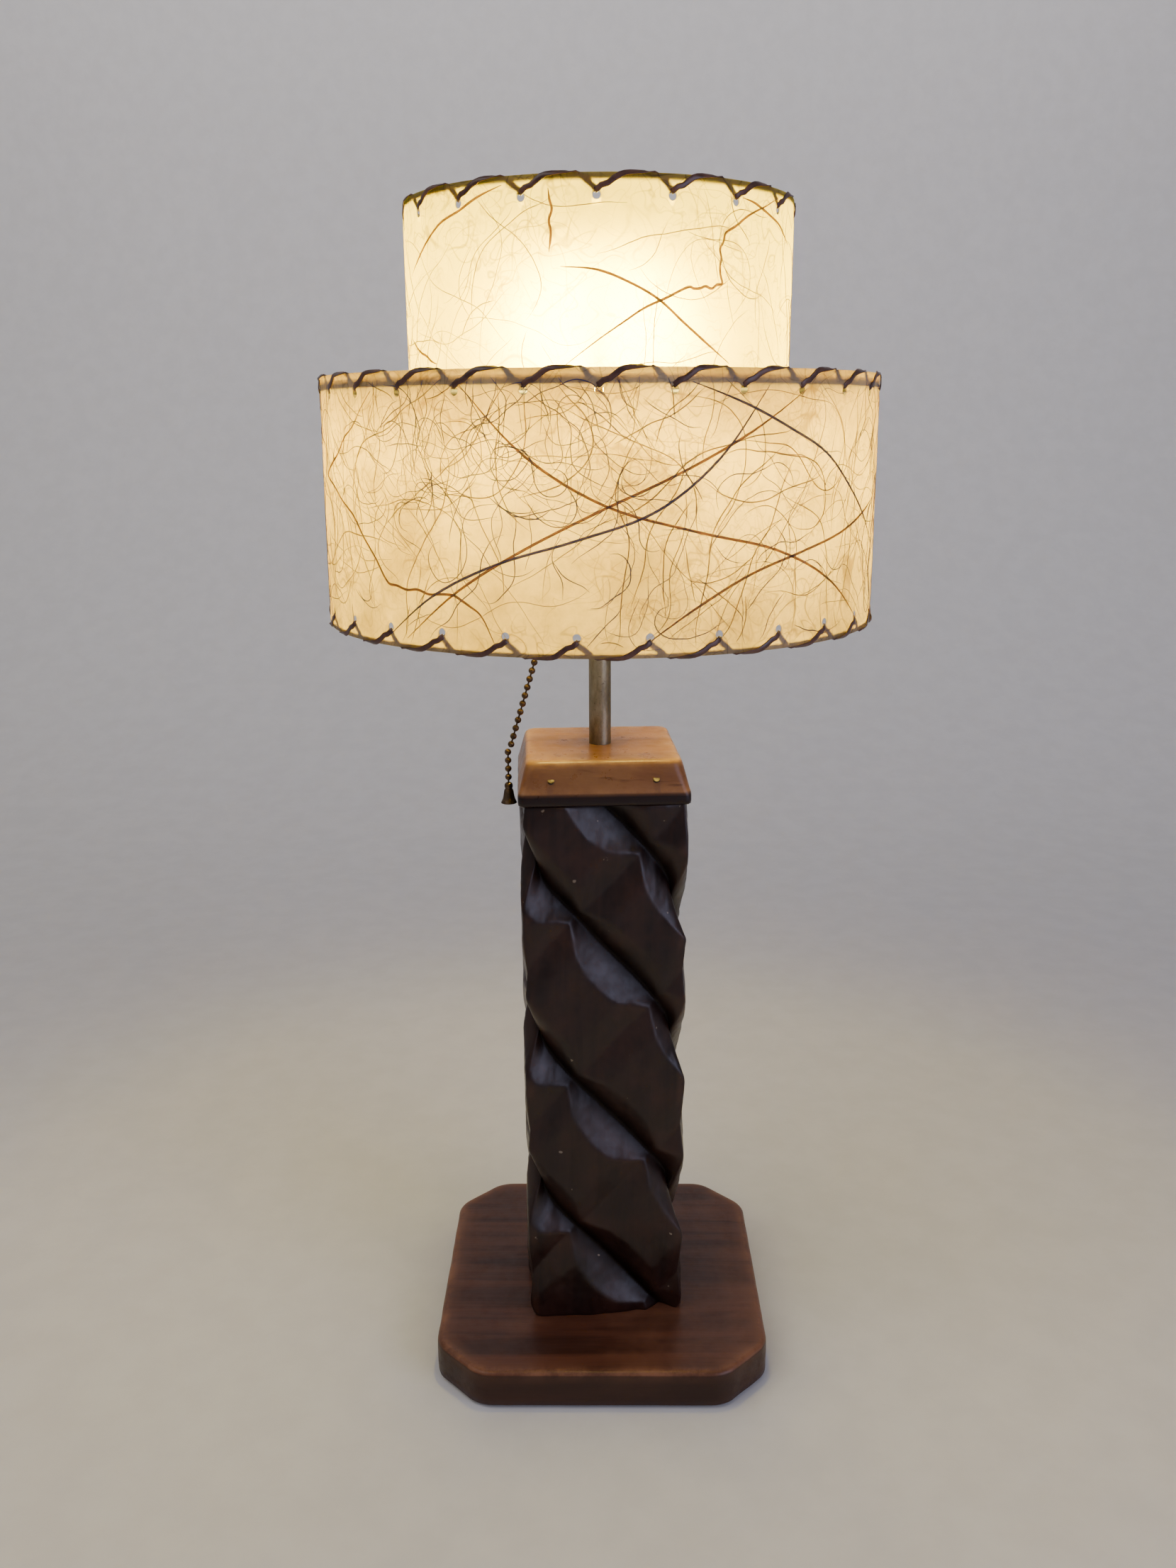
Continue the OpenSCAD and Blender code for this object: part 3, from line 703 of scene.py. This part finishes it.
# A bead's opening, in radians from its pole, and the height of its hollow pole as a share of its radius.
BEAD_MOUTH = 0.34
BEAD_HOLLOW = 0.86
LINK_R = 0.42 * MM
CHAIN_LEAN = math.radians(16.5)
SLANTED_BEADS = 24
HANGING_BEADS = 5
# The bell's outer face from its top down, then its inside up to the crown: radius and drop in mm.
BELL_OUTSIDE = (
    (0.0, 0.0), (1.1, 0.15), (1.75, 0.7), (2.0, 1.6), (1.95, 2.4), (1.7, 2.9), (1.75, 3.3), (2.15, 3.9),
    (2.4, 5.2), (2.65, 6.8), (3.0, 8.2), (3.5, 9.3), (3.75, 9.9), (3.78, 10.1),
)
BELL_INSIDE = ((3.6, 10.2), (3.2, 9.7), (2.6, 8.3), (2.0, 6.0), (0.0, 5.0))


def bead_mesh(centre, axis):
    """A bead of the chain: a ball with a small hollow at each pole, where the link enters."""
    profile = [(0.0, -BEAD_R * BEAD_HOLLOW)]
    for i in range(BEAD_RINGS + 1):
        a = -math.pi / 2 + BEAD_MOUTH + (math.pi - 2 * BEAD_MOUTH) * i / BEAD_RINGS
        profile.append((BEAD_R * math.cos(a), BEAD_R * math.sin(a)))
    profile.append((0.0, BEAD_R * BEAD_HOLLOW))
    verts, faces = lathe(profile, 16)
    return stand_on(verts, centre, axis), faces


def link_mesh(a, b):
    """The rod between two beads."""
    length = (b - a).length
    verts, faces = lathe([(0.0, 0.0), (LINK_R, 0.0), (LINK_R, length), (0.0, length)], 8)
    return stand_on(verts, a, (b - a).normalized()), faces


def make_chain(name, node, body, top, axis, count, material):
    """A straight stretch of ball chain from its top bead along an axis."""
    places = [top + axis * (BEAD_PITCH * i) for i in range(count)]
    parts = [bead_mesh(p, axis) for p in places]
    parts += [link_mesh(a, b) for a, b in zip(places, places[1:])]
    verts, faces = join(parts)
    piece = make_piece(name, verts, faces, body, material)
    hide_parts(node)


def make_slanted_chain(material):
    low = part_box("pull_chain_upper")[0]
    axis = Vector((-math.sin(CHAIN_LEAN), 0, -math.cos(CHAIN_LEAN)))
    bottom = Vector((low.x + BEAD_R, 0, low.z + BEAD_R))
    top = bottom - axis * BEAD_PITCH * (SLANTED_BEADS - 1)
    make_chain("slanted_chain", "pull_chain_upper", "chain_upper", top, axis, SLANTED_BEADS, material)


def make_hanging_chain(material):
    low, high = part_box("pull_chain_lower")
    top = Vector(((low.x + high.x) / 2, 0, high.z - BEAD_R))
    down = Vector((0, 0, -1))
    make_chain("hanging_chain", "pull_chain_lower", "chain_lower", top, down, HANGING_BEADS, material)


def make_bell(material):
    low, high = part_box("pull_chain_lower")
    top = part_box("bell_pull")[1].z
    profile = [(r * MM, top - drop * MM) for r, drop in reversed(BELL_OUTSIDE + BELL_INSIDE)]
    verts, faces = lathe(profile, 40, (low.x + high.x) / 2)
    piece = make_piece("bell", verts, faces, "bell", material)
    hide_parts("bell_pull")


# ---------------------------------------------------------------- shade
SHEET_T = 0.5 * MM
SHEET_COLUMNS = 360
SHEET_ROWS = 26
SHEET_INSET = 0.1 * MM
SHEET_BUCKLE = 0.22 * MM
SEAM_LAP = 0.45 * MM
# Half the width of the lapped seam and of its edge, in degrees.
SEAM_HALF = 3.2
SEAM_EDGE = 0.6
INNER_DEPTH = 0.38 * MM
LACE_W = 2.15 * MM
LACE_T = 0.48 * MM
LACE_CORNER = 0.16 * MM
HOLE_DROP = 6.0 * MM
HOLE_R = 1.6 * MM
HOLE_BELOW = 1.7 * MM
PUNCH_REACH = 2 * MM


class Tier:
    """One drum of the shade, read from its CAD sheet.

    top and bottom are the stitches of each rim: their number and the degrees of the first one. flare is how
    much narrower the drum is at its top than at its bottom, as a radius.
    """

    def __init__(self, node, top, bottom=(0, 0.0), flare=0.0):
        low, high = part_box(node)
        self.node = node
        self.z0, self.z1 = low.z, high.z
        self.widest = (high.x - low.x) / 2
        self.flare = flare
        self.top = top
        self.bottom = bottom

    def radius(self, z):
        return self.widest - self.flare * (z - self.z0) / (self.z1 - self.z0)

    def at(self, degrees, z, out=0.0):
        """A point on the outer face; degrees count from the front towards +X."""
        a = math.radians(degrees - 90)
        r = self.radius(z) + out
        return Vector((r * math.cos(a), r * math.sin(a), z))


def punch(piece, tier):
    """Cuts the lace holes along the rims."""
    parts = []
    drop = HOLE_DROP + HOLE_BELOW
    length = 2 * PUNCH_REACH
    pin, pin_faces = lathe([(0.0, 0.0), (HOLE_R, 0.0), (HOLE_R, length), (0.0, length)], 14)
    for (count, phase), z in ((tier.top, tier.z1 - drop), (tier.bottom, tier.z0 + drop)):
        for k in range(count):
            degrees = phase + 360.0 * k / count
            inner, outer = tier.at(degrees, z, -PUNCH_REACH), tier.at(degrees, z, PUNCH_REACH)
            parts.append((stand_on(pin, inner, (outer - inner).normalized()), pin_faces))
    verts, faces = join(parts)
    mesh = bpy.data.meshes.new("punch")
    mesh.from_pydata([tuple(v) for v in verts], [], faces)
    cutter = bpy.data.objects.new("punch", mesh)
    bpy.context.scene.collection.objects.link(cutter)
    cut = piece.modifiers.new("holes", "BOOLEAN")
    cut.operation = "DIFFERENCE"
    cut.solver = "EXACT"
    cut.object = cutter
    depsgraph = bpy.context.evaluated_depsgraph_get()
    finished = bpy.data.meshes.new_from_object(piece.evaluated_get(depsgraph))
    piece.modifiers.remove(cut)
    piece.data = finished
    bpy.data.objects.remove(cutter)
    bpy.data.meshes.remove(mesh)


def make_sheet(name, tier, material, seam_degrees):
    """A drum of sheet with an outer and an inner skin, slight buckles, a lapped seam and punched holes."""
    verts = []
    for inner in (False, True):
        for i in range(SHEET_ROWS):
            f = i / (SHEET_ROWS - 1)
            z = tier.z0 + (tier.z1 - tier.z0) * (1 - f if inner else f)
            for j in range(SHEET_COLUMNS):
                degrees = 360.0 * j / SHEET_COLUMNS
                a = math.radians(degrees)
                gap = abs((degrees - seam_degrees + 180) % 360 - 180)
                buckle = noise.noise(Vector((math.cos(a) * 3, math.sin(a) * 3, z * 12))) * SHEET_BUCKLE
                out = min(0.0, buckle - SHEET_INSET)
                out += -SHEET_T if inner else SEAM_LAP * clamp((SEAM_HALF - gap) / SEAM_EDGE)
                verts.append(tier.at(degrees, z, min(out, 0.35 * MM)))
    faces = grid_faces(2 * SHEET_ROWS, SHEET_COLUMNS)
    last = (2 * SHEET_ROWS - 1) * SHEET_COLUMNS
    for j in range(SHEET_COLUMNS):
        k = (j + 1) % SHEET_COLUMNS
        faces.append((last + j, last + k, k, j))
    piece = make_piece(name, verts, faces, "shade", material)
    punch(piece, tier)
    mesh = piece.data
    mesh.polygons.foreach_set("use_smooth", [True] * len(mesh.polygons))
    depths = [tier.radius(v.co.z) - math.hypot(v.co.x, v.co.y) for v in mesh.vertices]
    add_attribute(piece, "inner", [1.0 if depth > INNER_DEPTH else 0.0 for depth in depths])
    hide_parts(tier.node)


def lace_section():
    """A flat lace, slightly domed on both faces."""
    w, t, c = LACE_W / 2, LACE_T / 2, LACE_CORNER
    inside = [(-w, -t + c), (-w + c, -t), (0, -t - 0.03 * MM), (w - c, -t), (w, -t + c)]
    outside = [(w, t - c), (w - c, t), (0, t + 0.06 * MM), (-w + c, t), (-w, t - c)]
    return inside + outside


def stitch_path(reach, leave):
    """One stitch: share of the pitch, mm from the rim, mm out of the face, and how far the lace faces out.

    It comes out of a hole, climbs the outer face to reach, crosses the rim to leave and goes down the inner
    face.
    """
    hole = -HOLE_DROP / MM
    outside = [
        (-0.02, hole - 0.2, -0.5, 1.0), (0.01, hole + 0.3, 0.05, 1.0), (0.06, hole + 1.5, 0.34, 1.0),
        (0.14, -3.9, 0.36, 1.0), (0.22, -2.3, 0.36, 1.0), (reach - 0.06, -0.95, 0.36, 1.0),
    ]
    over = [
        (reach, -0.35, 0.36, 0.9), (reach + 0.08, -0.05, 0.30, 0.8), (leave - 0.12, 0.20, -0.06, 0.45),
        (leave, 0.12, -0.70, -0.3), (leave + 0.05, -0.8, -0.98, -0.9),
    ]
    inside = [
        (leave + 0.11, -2.4, -0.98, -1.0), (leave + 0.18, -4.0, -0.98, -1.0),
        (0.965, hole + 0.7, -0.96, -1.0), (0.998, hole - 0.1, -0.6, -1.0),
    ]
    return outside + over + inside


def make_lacing(name, node, tier, top, material):
    """Whip stitches round one rim, each a little different."""
    count, phase = tier.top if top else tier.bottom
    rim = tier.z1 if top else tier.z0
    sense = 1 if top else -1
    pitch = 360.0 / count
    rng = random.Random(name)
    parts = []
    for k in range(count):
        reach = 0.36 + rng.uniform(-0.02, 0.03)
        leave = 0.73 + rng.uniform(-0.03, 0.03)
        lift = rng.uniform(0.0, 0.05)
        points, normals = [], []
        for share, rise, out, facing in stitch_path(reach, leave):
            degrees = phase + pitch * k + sense * share * pitch
            p = tier.at(degrees, rim + sense * rise * MM, (out + (lift if facing > 0 else 0.0)) * MM)
            radial = Vector((p.x, p.y, 0)).normalized()
            points.append(p)
            normals.append(radial * facing + Vector((0, 0, sense * math.sqrt(1 - facing * facing))))
        parts.append(sweep(points, normals, lace_section()))
    verts, faces = join(parts)
    piece = make_piece(name, verts, faces, "shade", material)
    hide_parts(node)


def spline(points, steps):
    """A Catmull-Rom curve through points."""
    ends = [points[0] * 2 - points[1]] + list(points) + [points[-1] * 2 - points[-2]]
    curve = []
    for a, b, c, d in zip(ends, ends[1:], ends[2:], ends[3:]):
        for i in range(steps):
            t = i / steps
            square = (2 * a - 5 * b + 4 * c - d) * t * t
            cube = (3 * b - a - 3 * c + d) * t ** 3
            curve.append(0.5 * (2 * b + (c - a) * t + square + cube))
    curve.append(ends[-2])
    return curve


# Each long strand starts at (degrees from the front, height in mm) and goes on in one or more stretches of
# (degrees, height, bow, swing), where bow and swing push it sideways by so many mm.
LOWER_BROWN = (
    ((-25, 464), (62, 370, -6, -9)),
    ((40, 462), (-38, 370, -4, 3)),
    ((76, 424), (6, 368, -7, 3)),
    ((-46, 462), (-68, 430, 2, 0), (-43, 391, 5, 0), (-27, 388, -1, 0), (-19, 371, 3, 0)),
)
LOWER_GREY = (
    ((31, 463), (-43, 370, 9, 8)),
    ((16, 464), (72, 398, 8, 0)),
)
UPPER_BROWN = (
    ((-10, 470), (24, 499, 2, 0), (35, 501, -1, 0), (36, 519, 2, 0), (60, 535, 1, 0)),
    ((-10, 506), (38, 472, 6, 2)),
    ((-13, 533), (-13, 511, 1, 0)),
    ((-68, 508), (-26, 535, 3, 0)),
    ((42, 532), (69, 519, 2, 0)),
    ((-70, 484), (-52, 473, -1, 0)),
)
STRETCH_STEPS = 6
WAVER = 1.6
STRAND_T = 0.10 * MM
STRAND_OUT = 0.02 * MM
# Loose strands, in mm, and the degrees each side of the front that random long ones leave free.
RIM_CLEARANCE = 2.5
LOOSE_STEP = 3.0
LONG_STEP = 9
FRONT_HALF = 80


def bowed_run(tier, start, *stretches):
    """A strand laid on the drum from point to point, each stretch with its bow, its swing and a waver."""
    r = tier.radius(tier.z0) / MM
    run = [start]
    for degrees, z, bow, swing in stretches:
        first_degrees, first_z = run[-1]
        along = Vector((math.radians(degrees - first_degrees) * r, z - first_z))
        side = Vector((-along.y, along.x)).normalized()
        for i in range(1, STRETCH_STEPS + 1):
            t = i / STRETCH_STEPS
            waver = WAVER * noise.noise(Vector((degrees, z, 5 * t)))
            push = (bow + waver) * math.sin(math.pi * t) + swing * math.sin(TAU * t)
            p = along * t + side * push
            run.append((first_degrees + math.degrees(p.x / r), first_z + p.y))
    return run


def strand_part(tier, run, thickness, steps):
    """A fibre lying in the outer face, thinning to its ends."""
    curve = spline([Vector((d, z, 0)) for d, z in run], steps)
    points = [tier.at(p.x, p.y * MM, STRAND_OUT) for p in curve]
    normals = [Vector((p.x, p.y, 0)).normalized() for p in points]
    w, t = thickness / 2, STRAND_T
    verts, faces = sweep(points, normals, [(-w, 0), (0, t), (w, 0), (0, -t)])
    last = len(points) - 1
    for i, p in enumerate(points):
        taper = min(1.0, 0.25 + 4.0 * min(i, last - i) / last)
        for k in range(4):
            verts[4 * i + k] = p + (verts[4 * i + k] - p) * taper
    return verts, faces


def loose_run(rng, tier, length, curl, step, patch=None):
    """A random wandering fibre clear of the rims. It starts anywhere or in a patch of degrees and heights."""
    low, high = tier.z0 / MM + RIM_CLEARANCE, tier.z1 / MM - RIM_CLEARANCE
    left, right, under, over = patch or (0, 360, low, high)
    degrees, z = rng.uniform(left, right), rng.uniform(under, over)
    heading = rng.uniform(0, TAU)
    bend = rng.uniform(-curl, curl)
    run = [(degrees, z)]
    r = tier.radius(tier.z0) / MM
    for _ in range(int(length / step)):
        bend = 0.72 * bend + rng.uniform(-curl, curl) * 0.62
        heading += bend * step
        degrees += math.degrees(step * math.cos(heading) / r)
        z += step * math.sin(heading)
        if not low < z < high:
            break
        run.append((degrees, z))
    return run


def make_bold_strands(name, tier, bold, width, count, material, seed):
    """The long strands in view, with a few like them round the rest of the drum."""
    rng = random.Random(seed)
    parts = [strand_part(tier, bowed_run(tier, *strand), width * MM, 6) for strand in bold]
    while len(parts) < len(bold) + count:
        run = loose_run(rng, tier, rng.uniform(70, 150), 0.03, LONG_STEP)
        behind = all(abs((degrees + 180) % 360 - 180) >= FRONT_HALF for degrees, z in run)
        if behind and len(run) >= 6:
            parts.append(strand_part(tier, run, width * rng.uniform(0.8, 1.0) * MM, 6))
    verts, faces = join(parts)
    make_piece(name, verts, faces, "shade", material)


def make_fine_strands(name, tier, count, length, curl, thin, material, seed, patch=None):
    """Many short fibres at random; length and thin are ranges in mm."""
    rng = random.Random(seed)
    parts = []
    while len(parts) < count:
        run = loose_run(rng, tier, rng.uniform(*length), curl, LOOSE_STEP, patch)
        if len(run) >= 4:
            parts.append(strand_part(tier, run, rng.uniform(*thin) * MM, 2))
    verts, faces = join(parts)
    make_piece(name, verts, faces, "shade", material)


# ---------------------------------------------------------------- bulb
# The neck, from the base up to where it meets the ball: radius and height above the glass's low end, in mm.
BULB_NECK = ((12.6, 1.0), (13.2, 8.0), (15.3, 18.0), (19.4, 31.1))
BULB_FOOT_R = 12.4 * MM
BALL_STEPS = 28


def make_bulb(material):
    low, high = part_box("bulb_glass")
    radius = (high.x - low.x) / 2
    middle = high.z - radius
    neck = [Vector((r * MM, low.z + rise * MM, 0)) for r, rise in BULB_NECK]
    profile = [(0.0, low.z), (BULB_FOOT_R, low.z)]
    profile += [(p.x, p.y) for p in spline(neck, 6)[:-1]]
    profile += arc((0.0, middle), radius, -50, 90, BALL_STEPS)[:-1]
    profile.append((0.0, high.z))
    verts, faces = lathe(profile, 72)
    piece = make_piece("frosted_bulb", verts, faces, "bulb", material)
    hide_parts("bulb_glass")


# ---------------------------------------------------------------- stage and light
STAGE_HALF = 5.0
STAGE_FRONT = -4.0
STAGE_BACK = 1.6
STAGE_BEND = 0.9
STAGE_TOP = 3.2
BEND_STEPS = 15


def floor_material():
    """Pale matt stuff with a faint fleck."""
    m = Shader("floor")
    fleck = m.noise(40.0, 5, 0.6)
    colour = m.mix(m.ramp(fleck, 0.3, 0.7), (0.70, 0.685, 0.67), (0.74, 0.725, 0.71))
    m.set(Base_Color=colour, Roughness=0.8, Specular_IOR_Level=0.2)
    return m.material


def make_stage():
    """A pale floor that sweeps up behind the lamp as one smooth backdrop."""
    foot = STAGE_BACK - STAGE_BEND
    profile = [(STAGE_FRONT, 0.0)]
    profile += arc((foot, STAGE_BEND), STAGE_BEND, -90, 0, BEND_STEPS)
    profile.append((STAGE_BACK, STAGE_TOP))
    verts = [(x, y, z) for y, z in profile for x in (STAGE_HALF, -STAGE_HALF)]
    faces = [(2 * i, 2 * i + 2, 2 * i + 3, 2 * i + 1) for i in range(len(profile) - 1)]
    mesh = bpy.data.meshes.new("floor")
    mesh.from_pydata(verts, [], faces)
    mesh.polygons.foreach_set("use_smooth", [True] * len(faces))
    mesh.materials.append(floor_material())
    floor = bpy.data.objects.new("floor", mesh)
    bpy.context.scene.collection.objects.link(floor)


def make_light(name, place, aim, size, power, colour):
    """A soft rectangular light."""
    data = bpy.data.lights.new(name, "AREA")
    data.shape = "RECTANGLE"
    data.size, data.size_y = size
    data.energy = power
    data.color = colour
    lamp = bpy.data.objects.new(name, data)
    lamp.location = place
    lamp.rotation_euler = (Vector(aim) - Vector(place)).to_track_quat("-Z", "Y").to_euler()
    bpy.context.scene.collection.objects.link(lamp)


def make_world():
    """A dim, slightly cool fill from all round."""
    world = bpy.data.worlds.new("studio")
    world.use_nodes = True
    back = world.node_tree.nodes["Background"]
    back.inputs["Color"].default_value = (0.70, 0.69, 0.74, 1)
    back.inputs["Strength"].default_value = 0.30
    bpy.context.scene.world = world


# ---------------------------------------------------------------- build
make_camera()
make_stage()
make_world()
make_light("window_panel", (1.35, -1.15, 0.75), (0, 0, 0.25), (1.1, 1.3), 14, (0.66, 0.69, 1.0))
make_light("room_panel", (-1.2, -0.6, 1.8), (0, 0.2, 0.2), (1.8, 1.4), 14, (1.0, 0.95, 0.90))
make_light("wall_wash", (0, 0.8, 1.35), (0, 1.6, 1.15), (2.4, 0.4), 6, (1.0, 0.97, 0.98))

POST_WOOD = dark_post_wood()
CAP_WOOD = cap_wood_material()
BOARD_STAIN = ((0.046, 0.015, 0.0085), (0.112, 0.037, 0.019), (0.21, 0.088, 0.045))
BOARD_WOOD = wood("base_wood", *BOARD_STAIN, grain_axis=0, gloss=0.42, coat=0.12)
STEEL = metal("plated_steel", (0.60, 0.60, 0.58), (0.38, 0.36, 0.33), 0.32)
PIPE = metal("aged_pipe", (0.40, 0.35, 0.24), (0.15, 0.125, 0.080), 0.40, 75.0, 0.85, (1, 1, 0.35))
BRASS = metal("brass", (0.72, 0.53, 0.25), (0.42, 0.28, 0.12), 0.28)
BRONZE = metal("dark_bronze", (0.15, 0.10, 0.060), (0.050, 0.034, 0.024), 0.34, 300.0, 0.8)
NAIL = metal("nail_steel", (0.10, 0.085, 0.075), (0.035, 0.026, 0.022), 0.5, 400.0, 0.8)
RING = metal("ring_wire", (0.20, 0.19, 0.18), (0.10, 0.09, 0.08), 0.45)
FELT = plain("felt", (0.045, 0.060, 0.032), 0.95, 900.0, 0.0008, 0.5)
RUBBER = plain("bushing", (0.018, 0.018, 0.018), 0.55)
PHENOLIC = plain("phenolic", (0.030, 0.020, 0.015), 0.28, 250.0, 0.0001)
FIBRE_BOARD = plain("liner", (0.45, 0.34, 0.20), 0.8, 500.0, 0.0004)
ALUMINIUM = metal("cap_aluminium", (0.66, 0.64, 0.60), (0.40, 0.38, 0.34), 0.30)
STEM = plain("stem_glass", (0.80, 0.82, 0.82), 0.12, 120.0, 0.0001)
LACE = lace_material()
# Both tiers are the same sheet in two copies. The upper tier's brighter glow comes partly from the bulb
# inside it and partly from painted light: the upper copy lets more light through, blurs more of it forward,
# is less clouded and is tinted yellower. The lower copy holds more back and glows duller.
UPPER_SHEET = sheet_material("upper_sheet", (1.0, 0.83, 0.07), (0.80, 0.60, 0.40), 0.88, 0.48, 0.22)
LOWER_SHEET = sheet_material("lower_sheet", (1.0, 0.73, 0.15), (0.72, 0.63, 0.50), 0.62, 0.03, 0.62)
BROWN_STRAND = strand_material("brown_strand", (0.44, 0.33, 0.34), 0.90)
GREY_STRAND = strand_material("grey_strand", (0.24, 0.23, 0.52), 0.88)
FINE_STRAND = strand_material("fine_strand", (0.56, 0.49, 0.48), 0.92)

make_board(BOARD_WOOD)
make_post(POST_WOOD)
make_cap(CAP_WOOD)
make_slanted_chain(BRONZE)
make_hanging_chain(BRONZE)
make_bell(BRONZE)
make_bulb(bulb_material())

UPPER = Tier("upper_sheet", top=(18, -0.5))
LOWER = Tier("lower_sheet", top=(28, 0.0), bottom=(28, -4.0), flare=0.8 * MM)
make_sheet("upper_skin", UPPER, UPPER_SHEET, -84.0)
make_sheet("lower_skin", LOWER, LOWER_SHEET, 152.0)
make_lacing("upper_rim_lace", "upper_lacing", UPPER, True, LACE)
make_lacing("step_rim_lace", "lower_top_lacing", LOWER, True, LACE)
make_lacing("bottom_rim_lace", "bottom_lacing", LOWER, False, LACE)
make_bold_strands("upper_strands", UPPER, UPPER_BROWN, 1.0, 7, BROWN_STRAND, 11)
make_bold_strands("lower_strands", LOWER, LOWER_BROWN, 1.0, 8, BROWN_STRAND, 12)
make_bold_strands("lower_dark_strands", LOWER, LOWER_GREY, 1.0, 3, GREY_STRAND, 13)
make_fine_strands("upper_hairs", UPPER, 130, (20, 90), 0.09, (0.18, 0.40), FINE_STRAND, 14)
make_fine_strands("lower_hairs", LOWER, 300, (25, 120), 0.08, (0.20, 0.50), FINE_STRAND, 15)
make_fine_strands("lower_curls", LOWER, 230, (15, 60), 0.17, (0.18, 0.40), GREY_STRAND, 16)
TANGLE_PATCH = (-48, 8, 420, 459)
make_fine_strands("lower_tangle", LOWER, 110, (15, 55), 0.19, (0.15, 0.36), GREY_STRAND, 17, TANGLE_PATCH)

# The material of each slot whose CAD nodes are carried as they are.
DRESS = {
    "felt": FELT, "screw_steel": STEEL, "bushing": RUBBER, "nail": NAIL, "pipe": PIPE,
    "harp_brass": BRASS, "socket_brass": BRASS, "contact_brass": BRASS, "spring_steel": STEEL,
    "liner": FIBRE_BOARD, "phenolic": PHENOLIC, "bulb_cap": ALUMINIUM, "bulb_stem": STEM, "ring_wire": RING,
}
for part in frame["record"]["subparts"]:
    if part["material_slot"] in DRESS:
        dress(part["node"], DRESS[part["material_slot"]])
